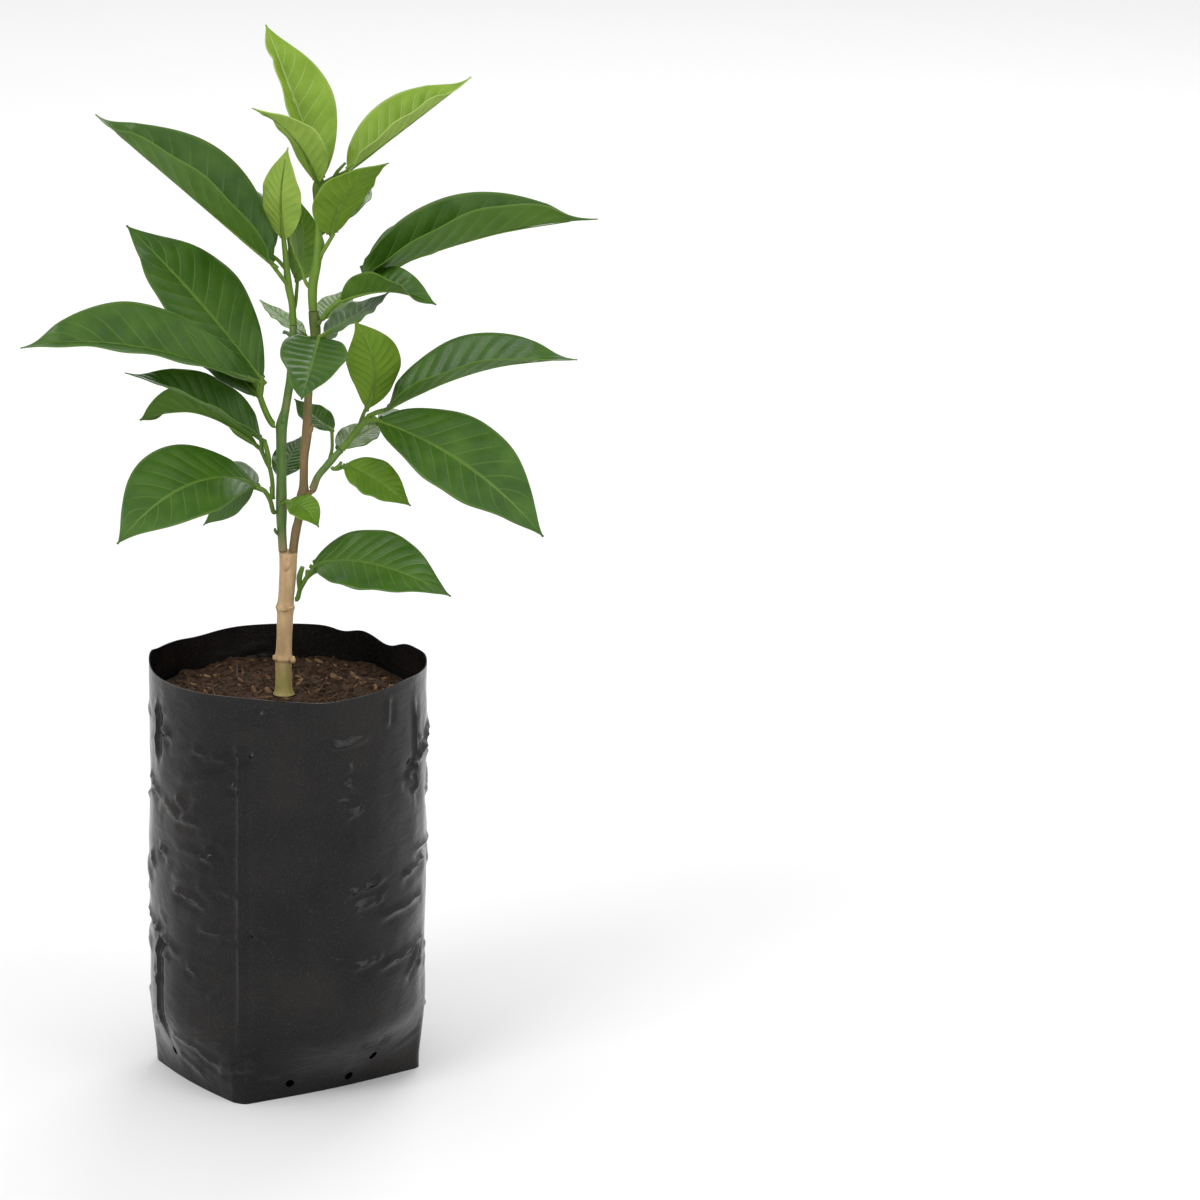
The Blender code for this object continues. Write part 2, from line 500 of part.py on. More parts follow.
def make_leaf(leaf, name, home):
    bm = bmesh.new()
    bmesh.ops.create_grid(bm, x_segments=LEAF_COLUMNS, y_segments=LEAF_ROWS, size=1.0)
    points = leaf_points(leaf, LEAF_ROWS, LEAF_COLUMNS)
    for vert in bm.verts:
        column = round((vert.co.x + 1.0) / 2.0 * LEAF_COLUMNS)
        row = round((vert.co.y + 1.0) / 2.0 * LEAF_ROWS)
        vert.co = points[row, column]
    blade = object_of(bm, name, home)
    body = blade.modifiers.new("thickness", "SOLIDIFY")
    body.thickness = LEAF_THICKNESS
    body.offset = 0.0
    return blade


def petiole_root(leaf):
    """The stalk runs on along the midrib, so that the blade's root is sunk into it."""
    base, tip, bow = (np.array(leaf.get(key, (0, 0, 0)), float) for key in ("base", "tip", "bow"))
    points = []
    for along, radius in ((-0.02, 0.95), (PETIOLE_ROOT / 2, 0.9), (PETIOLE_ROOT, 0.7)):
        swell = max(along, 0.0) ** (math.log(0.5) / math.log(leaf.get("peak", 0.5)))
        place = base + (tip - base) * along + bow * 4 * swell * (1 - swell)
        points.append((*place, radius))
    return points


def make_shoot(name, shoot, home):
    """One mass of foliage: stem, twigs, stalks and blades joined into one solid."""
    loose = collection(name + "_pieces")
    body = make_tube(shoot["stem"], name, home)
    for number, twig in enumerate(shoot["twigs"]):
        make_tube(twig, f"{name}_twig_{number}", loose, resolution=1)
    for title, leaf in shoot["leaves"].items():
        make_tube(petiole_root(leaf), f"{name}_{title}_stalk", loose, resolution=1)
        make_leaf(leaf, f"{name}_{title}", loose)
    join = body.modifiers.new("join", "BOOLEAN")
    join.operation = "UNION"
    join.operand_type = "COLLECTION"
    join.collection = loose
    bpy.context.view_layer.update()
    evaluated = body.evaluated_get(bpy.context.evaluated_depsgraph_get())
    joined = bpy.data.meshes.new_from_object(evaluated)
    joined.name = name
    body.modifiers.clear()
    body.data = joined
    for piece in list(loose.objects):
        bpy.data.objects.remove(piece)
    bpy.data.collections.remove(loose)
    return body


def finish(piece, made_of):
    piece.data.materials.clear()
    piece.data.materials.append(made_of)
    piece.data.shade_smooth()
    piece.data.set_sharp_from_angle(angle=math.radians(40))


def main():
    for old in list(bpy.data.objects):
        bpy.data.objects.remove(old)
    tree = collection("potted_orange_tree")
    cutters = collection("drain_cutters")
    cutters.hide_render = True
    make_bag(tree, cutters)
    make_mix(tree)
    bark = material("tan_bark", BARK_TAN)
    brown_bark = material("brown_bark", BARK_BROWN)
    green_bark = material("green_bark", SHOOT_GREEN)
    for name, points, made_of in (("trunk", TRUNK, bark), ("left_stem", LEFT_STEM, green_bark),
                                  ("right_stem", RIGHT_STEM, brown_bark),
                                  ("right_bough", RIGHT_BOUGH, green_bark)):
        finish(make_tube(points, name, tree, resolution=4), made_of)
    leaf_green = material("leaf_green", LEAF_GREEN)
    young_green = material("young_leaf_green", YOUNG_GREEN)
    for name, shoot in SHOOTS.items():
        finish(make_shoot(name, shoot, tree), young_green if name == "crown_leaves" else leaf_green)


main()
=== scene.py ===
import json
import math
import random

import bpy
import numpy as np
from mathutils import Matrix, Vector, noise

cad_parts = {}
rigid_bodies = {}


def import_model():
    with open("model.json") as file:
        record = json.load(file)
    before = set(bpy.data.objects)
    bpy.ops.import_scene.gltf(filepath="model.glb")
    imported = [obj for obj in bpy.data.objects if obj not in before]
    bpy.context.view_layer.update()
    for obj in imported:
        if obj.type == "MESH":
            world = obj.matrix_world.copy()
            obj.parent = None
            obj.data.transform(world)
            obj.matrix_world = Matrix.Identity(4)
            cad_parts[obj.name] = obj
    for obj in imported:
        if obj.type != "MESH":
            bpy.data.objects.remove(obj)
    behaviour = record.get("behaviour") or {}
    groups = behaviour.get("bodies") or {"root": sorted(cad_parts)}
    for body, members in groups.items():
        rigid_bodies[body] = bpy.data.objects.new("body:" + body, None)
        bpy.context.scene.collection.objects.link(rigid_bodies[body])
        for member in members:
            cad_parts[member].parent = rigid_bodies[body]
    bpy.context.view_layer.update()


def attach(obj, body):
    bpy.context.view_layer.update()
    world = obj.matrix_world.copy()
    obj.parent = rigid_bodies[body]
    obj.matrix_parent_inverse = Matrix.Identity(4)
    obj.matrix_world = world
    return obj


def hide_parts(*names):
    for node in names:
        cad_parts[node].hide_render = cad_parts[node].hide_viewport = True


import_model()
mm = 0.001
tiny = 1e-6
print("frame loaded")

# the plant's axis stands left of the middle; both lengths are in pixels of a picture 1200 wide
axisOffset, focalLength = 312, 7000
cameraSettings = {
    "lens": 210.0, "sensor": 36.0, "clip": (0.1, 50.0), "distance": 3.225, "aimHeight": 0.2253,
    "pitchDown": math.radians(16.1), "panRight": math.atan(axisOffset / focalLength),
}


def addObject(name, data):
    made = bpy.data.objects.new(name, data)
    bpy.context.scene.collection.objects.link(made)
    return made


def makeCamera(name, settings):
    data = bpy.data.cameras.new(name)
    data.lens = settings["lens"]
    data.sensor_width = settings["sensor"]
    data.clip_start, data.clip_end = settings["clip"]
    camera = addObject(name, data)
    back = settings["distance"] * math.cos(settings["pitchDown"])
    rise = settings["distance"] * math.sin(settings["pitchDown"])
    camera.matrix_world = (Matrix.Translation((0.0, -back, settings["aimHeight"] + rise))
                           @ Matrix.Rotation(math.pi / 2 - settings["pitchDown"], 4, "X")
                           @ Matrix.Rotation(-settings["panRight"], 4, "Y"))
    bpy.context.scene.camera = camera


makeCamera("photoCamera", cameraSettings)


# node helpers, for shader trees and geometry trees alike
def put(tree, kind, inputs=None, **settings):
    node = tree.nodes.new(kind)
    for key, value in settings.items():
        setattr(node, key, value)
    for key, value in (inputs or {}).items():
        if isinstance(value, bpy.types.NodeSocket):
            tree.links.new(value, node.inputs[key])
        else:
            node.inputs[key].default_value = value
    return node


def calc(tree, operation, first, second=0.0):
    return put(tree, "ShaderNodeMath", {0: first, 1: second}, operation=operation).outputs[0]


def vectorCalc(tree, operation, inputs):
    return put(tree, "ShaderNodeVectorMath", inputs, operation=operation)


def blendColour(tree, share, first, second):
    return put(tree, "ShaderNodeMix", {0: share, 6: first, 7: second}, data_type="RGBA").outputs[2]


def span(tree, value, low, high, toLow=0.0, toHigh=1.0):
    inputs = {"Value": value, "From Min": low, "From Max": high, "To Min": toLow, "To Max": toHigh}
    return put(tree, "ShaderNodeMapRange", inputs).outputs["Result"]


def useGroup(tree, group, inputs):
    return put(tree, "ShaderNodeGroup", inputs, node_tree=group)


def groupWith(name, ins, outs, kind="ShaderNodeTree"):
    tree = bpy.data.node_groups.new(name, kind)
    for title, socket, default in ins:
        made = tree.interface.new_socket(title, in_out="INPUT", socket_type=socket)
        if default is not None:
            made.default_value = default
    for title, socket in outs:
        tree.interface.new_socket(title, in_out="OUTPUT", socket_type=socket)
    return tree, tree.nodes.new("NodeGroupInput"), tree.nodes.new("NodeGroupOutput")


def objectPlace(tree):
    return put(tree, "ShaderNodeTexCoord").outputs["Object"]


def startMaterial(name, roughness, specular):
    made = bpy.data.materials.new(name)
    made.use_nodes = True
    tree = made.node_tree
    shader = tree.nodes["Principled BSDF"]
    shader.inputs["Roughness"].default_value = roughness
    shader.inputs["Specular IOR Level"].default_value = specular
    return made, tree, shader


def addBump(tree, shader, height, distance, strength=1.0):
    bump = put(tree, "ShaderNodeBump", {"Height": height, "Distance": distance, "Strength": strength})
    tree.links.new(bump.outputs["Normal"], shader.inputs["Normal"])


# one group for every mottled surface: soft patches and fine grain, both as masks
mottleLook = {"patchDetail": 4.0, "grainDetail": 3.0, "low": 0.32, "high": 0.68}


def makeMottleGroup(name, look):
    ins = (("Place", "NodeSocketVector", None), ("Patch", "NodeSocketFloat", 60.0),
           ("Grain", "NodeSocketFloat", 900.0))
    tree, start, end = groupWith(name, ins, (("Patches", "NodeSocketFloat"), ("Grains", "NodeSocketFloat")))
    for title, scale, detail in (("Patches", "Patch", "patchDetail"), ("Grains", "Grain", "grainDetail")):
        cloud = put(tree, "ShaderNodeTexNoise", {"Vector": start.outputs["Place"], "Detail": look[detail],
                                                 "Scale": start.outputs[scale]})
        tree.links.new(span(tree, cloud.outputs["Fac"], look["low"], look["high"]), end.inputs[title])
    return tree


mottleTree = makeMottleGroup("mottleGroup", mottleLook)

studio = {
    "floorSize": 12.0, "floorColour": (0.80, 0.80, 0.80, 1.0), "floorRoughness": 0.7, "floorSpecular": 0.2,
    "skyColour": (1.0, 1.0, 1.0, 1.0), "skyStrength": 0.95,
    # name: place, aim, size, power
    "softLights": {
        "keyLight": ((-1.6, -1.8, 2.2), (0.0, 0.0, 0.25), 1.3, 34.0),
        "fillLight": ((1.9, -1.6, 1.2), (0.0, 0.0, 0.25), 1.2, 10.0),
        "rimLight": ((0.6, 1.9, 1.7), (0.0, 0.0, 0.35), 1.0, 16.0),
    },
}


def makeStudio(settings):
    bpy.context.scene.view_settings.view_transform = "Standard"
    bpy.ops.mesh.primitive_plane_add(size=settings["floorSize"])
    floor = bpy.context.object
    floor.name = "studioFloor"
    made, _, shader = startMaterial("paleFloor", settings["floorRoughness"], settings["floorSpecular"])
    shader.inputs["Base Color"].default_value = settings["floorColour"]
    floor.data.materials.append(made)
    world = bpy.data.worlds.new("studioSky")
    world.use_nodes = True
    background = world.node_tree.nodes["Background"]
    background.inputs["Color"].default_value = settings["skyColour"]
    background.inputs["Strength"].default_value = settings["skyStrength"]
    bpy.context.scene.world = world
    for name, (place, aim, size, power) in settings["softLights"].items():
        data = bpy.data.lights.new(name, "AREA")
        data.size = size
        data.energy = power
        lamp = addObject(name, data)
        lamp.location = place
        lamp.rotation_euler = (Vector(aim) - Vector(place)).to_track_quat("-Z", "Y").to_euler()


makeStudio(studio)
print("studio ready")


def settle(piece, node):  # the finished piece stands for its node, which is hidden
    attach(piece, "root")
    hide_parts(node)


def meshFrom(name, points, faces):
    mesh = bpy.data.meshes.new(name)
    mesh.from_pydata(points, [], faces)
    mesh.update()
    return addObject(name, mesh)


def bakeDown(piece):  # turns the piece, modifiers and all, into a plain smooth mesh
    bpy.context.view_layer.update()
    mesh = bpy.data.meshes.new_from_object(piece.evaluated_get(bpy.context.evaluated_depsgraph_get()))
    name = piece.name
    if piece.type == "MESH":
        piece.modifiers.clear()
        piece.data = mesh
    else:
        bpy.data.objects.remove(piece)
        piece = addObject(name, mesh)
    mesh.shade_smooth()
    return piece


def useTree(piece, tree, values):  # a geometry tree on a piece, its inputs set by identifier
    modifier = piece.modifiers.new(tree.name, "NODES")
    modifier.node_group = tree
    known = {item.name: item.identifier for item in tree.interface.items_tree if item.in_out == "INPUT"}
    for title, value in values.items():
        modifier[known[title]] = value


# bark, for the stems and for every twig and stalk: the colour turns from low to high between two levels
barkLook = {
    "roughness": 0.55, "specular": 0.35, "streakStretch": (1.0, 1.0, 0.16), "streakScale": 420.0,
    "streakGrain": 1500.0, "streakShare": 0.55, "patchScale": 90.0, "patchGrain": 1100.0, "drift": 0.7,
    "grainShare": 0.4, "bumpDepth": 0.0002, "bumpStrength": 0.8,
}
barkFinishes = {  # low colour, high colour, streaks, the two levels in metres
    "trunkBark": ((0.30, 0.27, 0.075, 1), (0.58, 0.39, 0.21, 1), (0.27, 0.17, 0.075, 1), (0.182, 0.204)),
    "leftStemBark": ((0.33, 0.23, 0.12, 1), (0.085, 0.17, 0.03, 1), (0.05, 0.10, 0.02, 1), (0.250, 0.262)),
    "rightStemBark": ((0.19, 0.125, 0.050, 1), (0.075, 0.13, 0.015, 1), (0.085, 0.055, 0.020, 1),
                      (0.300, 0.352)),
    "boughBark": ((0.20, 0.15, 0.07, 1), (0.09, 0.18, 0.03, 1), (0.05, 0.11, 0.02, 1), (0.279, 0.288)),
    "shootBark": ((0.085, 0.165, 0.012, 1), (0.14, 0.24, 0.02, 1), (0.05, 0.115, 0.010, 1), (0.25, 0.40)),
}


def barkMaterial(name, low, high, streak, levels, look):
    made, tree, shader = startMaterial(name, look["roughness"], look["specular"])
    place = objectPlace(tree)
    stretched = put(tree, "ShaderNodeMapping", {"Vector": place, "Scale": look["streakStretch"]}).outputs[0]
    streaks = useGroup(tree, mottleTree, {"Place": stretched, "Patch": look["streakScale"],
                                          "Grain": look["streakGrain"]})
    patches = useGroup(tree, mottleTree, {"Place": place, "Patch": look["patchScale"],
                                          "Grain": look["patchGrain"]})
    rise = put(tree, "ShaderNodeSeparateXYZ", {0: place}).outputs[2]
    uneven = calc(tree, "MULTIPLY", calc(tree, "SUBTRACT", patches.outputs["Patches"], 0.5), look["drift"])
    drift = calc(tree, "ADD", span(tree, rise, *levels), uneven)
    base = blendColour(tree, put(tree, "ShaderNodeClamp", {0: drift}).outputs[0], low, high)
    lined = blendColour(tree, calc(tree, "MULTIPLY", streaks.outputs["Patches"], look["streakShare"]),
                        base, streak)
    tree.links.new(lined, shader.inputs["Base Color"])
    grain = calc(tree, "MULTIPLY", patches.outputs["Grains"], look["grainShare"])
    relief = calc(tree, "ADD", streaks.outputs["Patches"], grain)
    addBump(tree, shader, relief, look["bumpDepth"], look["bumpStrength"])
    return made


barks = {name: barkMaterial(name, *values, barkLook) for name, values in barkFinishes.items()}


ridgeLook = {"stretch": (1.0, 1.0, 0.3), "detail": 3.0}  # ridges run up the stem


def makeBarkTree(name, look):  # a capped tube along each path, as thick as its radius, with uneven bark
    ins = (("Geometry", "NodeSocketGeometry", None), ("Sides", "NodeSocketInt", 20),
           ("Relief", "NodeSocketFloat", 0.0004), ("Grain", "NodeSocketFloat", 240.0),
           ("Bark", "NodeSocketMaterial", None))
    tree, start, end = groupWith(name, ins, (("Geometry", "NodeSocketGeometry"),), "GeometryNodeTree")
    ring = put(tree, "GeometryNodeCurvePrimitiveCircle", {"Resolution": start.outputs["Sides"],
                                                          "Radius": 1.0})
    tube = put(tree, "GeometryNodeCurveToMesh", {"Curve": start.outputs["Geometry"],
                                                 "Profile Curve": ring.outputs["Curve"], "Fill Caps": True})
    if "Scale" in tube.inputs:  # where the node takes the radius as an input
        tree.links.new(put(tree, "GeometryNodeInputRadius").outputs[0], tube.inputs["Scale"])
    where = put(tree, "GeometryNodeInputPosition").outputs[0]
    drawn = vectorCalc(tree, "MULTIPLY", {0: where, 1: look["stretch"]}).outputs[0]
    ridges = put(tree, "ShaderNodeTexNoise", {"Vector": drawn, "Scale": start.outputs["Grain"],
                                              "Detail": look["detail"]})
    uneven = calc(tree, "SUBTRACT", ridges.outputs["Fac"], 0.5)
    lift = calc(tree, "MULTIPLY", uneven, start.outputs["Relief"])
    outward = put(tree, "GeometryNodeInputNormal").outputs[0]
    push = vectorCalc(tree, "SCALE", {0: outward, "Scale": lift}).outputs[0]
    moved = put(tree, "GeometryNodeSetPosition", {"Geometry": tube.outputs[0], "Offset": push})
    solid = put(tree, "GeometryNodeRealizeInstances", {"Geometry": moved.outputs[0]})
    painted = put(tree, "GeometryNodeSetMaterial", {"Geometry": solid.outputs[0],
                                                    "Material": start.outputs["Bark"]})
    tree.links.new(painted.outputs[0], end.inputs["Geometry"])
    return tree


barkTree = makeBarkTree("barkTube", ridgeLook)
tubeLooks = {
    "stem": {"sides": 32, "steps": 10, "relief": 0.0007},
    "stalk": {"sides": 14, "steps": 6, "relief": 0.0003},
}


def smoothPath(points, steps):  # an even curve through the points, radius included
    given = np.array(points, float)
    ends = np.vstack((given[0], given, given[-1]))
    share = np.linspace(0.0, 1.0, steps, endpoint=False)[:, None]
    out = []
    for a, b, c, d in zip(ends, ends[1:], ends[2:], ends[3:]):
        out.append(0.5 * (2 * b + (c - a) * share + (2 * a - 5 * b + 4 * c - d) * share ** 2
                          + (3 * b - a - 3 * c + d) * share ** 3))
    return np.vstack((*out, given[-1:]))


def makeTubes(name, paths, bark, look):
    curve = bpy.data.curves.new(name, "CURVE")
    curve.dimensions = "3D"
    for path in paths:
        points = smoothPath(path, look["steps"])
        spline = curve.splines.new("POLY")
        spline.points.add(len(points) - 1)
        for point, (x, y, z, radius) in zip(spline.points, points):
            point.co = (x * mm, y * mm, z * mm, 1.0)
            point.radius = radius * mm
    piece = addObject(name, curve)
    useTree(piece, barkTree, {"Sides": look["sides"], "Relief": look["relief"], "Bark": bark})
    return bakeDown(piece)


stems = {  # (x, y, z, radius) in mm, from the foot up, with rings where leaves have grown
    "trunk": ((-1.9, 0, 180.3, 5.0), (-1.9, 0, 183, 4.1), (-2.1, 0, 190, 3.8), (-2.1, 0, 195.5, 3.9),
              (-2.1, 0, 197.5, 4.5), (-1.9, 0, 200, 3.8), (-1.7, 0, 206, 3.6), (-1.5, 0, 213, 3.7),
              (-1.2, 0, 219.5, 3.9), (-1.2, 0, 222, 4.5), (-1.0, 0, 225, 3.8), (-0.2, 0, 236, 3.9),
              (0.1, 0, 245, 4.1), (0.1, 0, 248.4, 4.3)),
    "left_stem": ((-2.3, 1.0, 248.7, 2.1), (-2.5, 1.3, 252, 2.1), (-2.9, 2.0, 259, 2.2),
                  (-3.0, 3.0, 269, 2.6), (-3.0, 4.0, 284, 2.3), (-3.0, 4.0, 301, 2.4),
                  (-2.8, 4.0, 308, 2.6), (-1.1, 4.0, 315, 2.0), (0.2, 4.0, 323, 2.0),
                  (1.3, 4.0, 330, 2.1), (2.2, 4.0, 346, 1.7), (2.4, 4.0, 354.6, 1.8)),
    "right_stem": ((2.4, -1.0, 248.7, 2.0), (2.7, -1.0, 252, 2.0), (3.7, -1.0, 259, 2.1),
                   (5.0, -1.0, 265, 2.0), (6.8, -1.0, 275, 2.9), (7.2, -1.0, 281, 2.1),
                   (7.4, -1.0, 294, 2.0), (8.6, -1.0, 306, 2.3), (9.3, -1.0, 323, 1.8),
                   (11.2, -1.0, 341, 2.0), (12.5, -1.0, 350, 2.4), (12.0, -1.0, 358, 2.6),
                   (11.4, -1.0, 362.4, 2.2)),
    "right_bough": ((10.3, -1.0, 278.3, 1.7), (11.3, -1.1, 278.7, 1.8), (13.9, -2.0, 285, 1.6),
                    (19.6, -2.0, 292, 1.7), (22.6, -2.0, 295.6, 1.5), (24.2, -2.0, 297.3, 1.6)),
}
# small scars, stubs and buds on the wood, as short tubes, in mm
woodMarks = {
    "trunk": (((-4.6, -2.2, 196.6, 0.4), (-6.0, -2.6, 198.0, 1.1), (-6.6, -2.7, 199.6, 0.5)),
              ((1.4, -2.8, 196.2, 0.5), (2.2, -3.7, 197.4, 1.3), (2.6, -3.8, 199.4, 0.4)),
              ((-3.4, -2.8, 221.0, 0.4), (-1.2, -4.2, 222.2, 1.2), (2.2, -3.6, 223.0, 0.5)),
              ((-1.4, -3.4, 240.0, 0.4), (-0.2, -4.4, 243.5, 1.4), (0.6, -3.6, 247.4, 0.5))),
    "left_stem": (((-4.6, 1.2, 256.0, 0.5), (-5.8, 0.6, 258.2, 0.8), (-6.0, 0.6, 259.6, 0.4)),
                  ((-3.0, 2.0, 308.4, 0.5), (-2.0, 1.4, 310.6, 1.0), (-1.2, 1.8, 312.4, 0.4))),
    "right_stem": (((7.8, -2.8, 275.4, 0.6), (9.4, -3.4, 276.8, 1.4), (11.2, -3.0, 277.6, 0.7)),
                   ((8.6, -2.6, 303.0, 0.4), (10.0, -2.6, 306.4, 1.2), (11.3, -2.4, 309.4, 0.6)),
                   ((12.6, -2.8, 355.4, 0.5), (14.0, -3.4, 357.4, 1.1), (15.2, -2.8, 358.6, 0.5))),
    "right_bough": (),
}
stemBarks = {  # bark, material slot
    "trunk": ("trunkBark", "tan_bark"), "left_stem": ("leftStemBark", "green_bark"),
    "right_stem": ("rightStemBark", "brown_bark"), "right_bough": ("boughBark", "green_bark"),
}
for name, path in stems.items():
    barkName, slotName = stemBarks[name]
    piece = makeTubes(name + "Bark", (path, *woodMarks[name]), barks[barkName], tubeLooks["stem"])
    settle(piece, name)
print("stems grown")

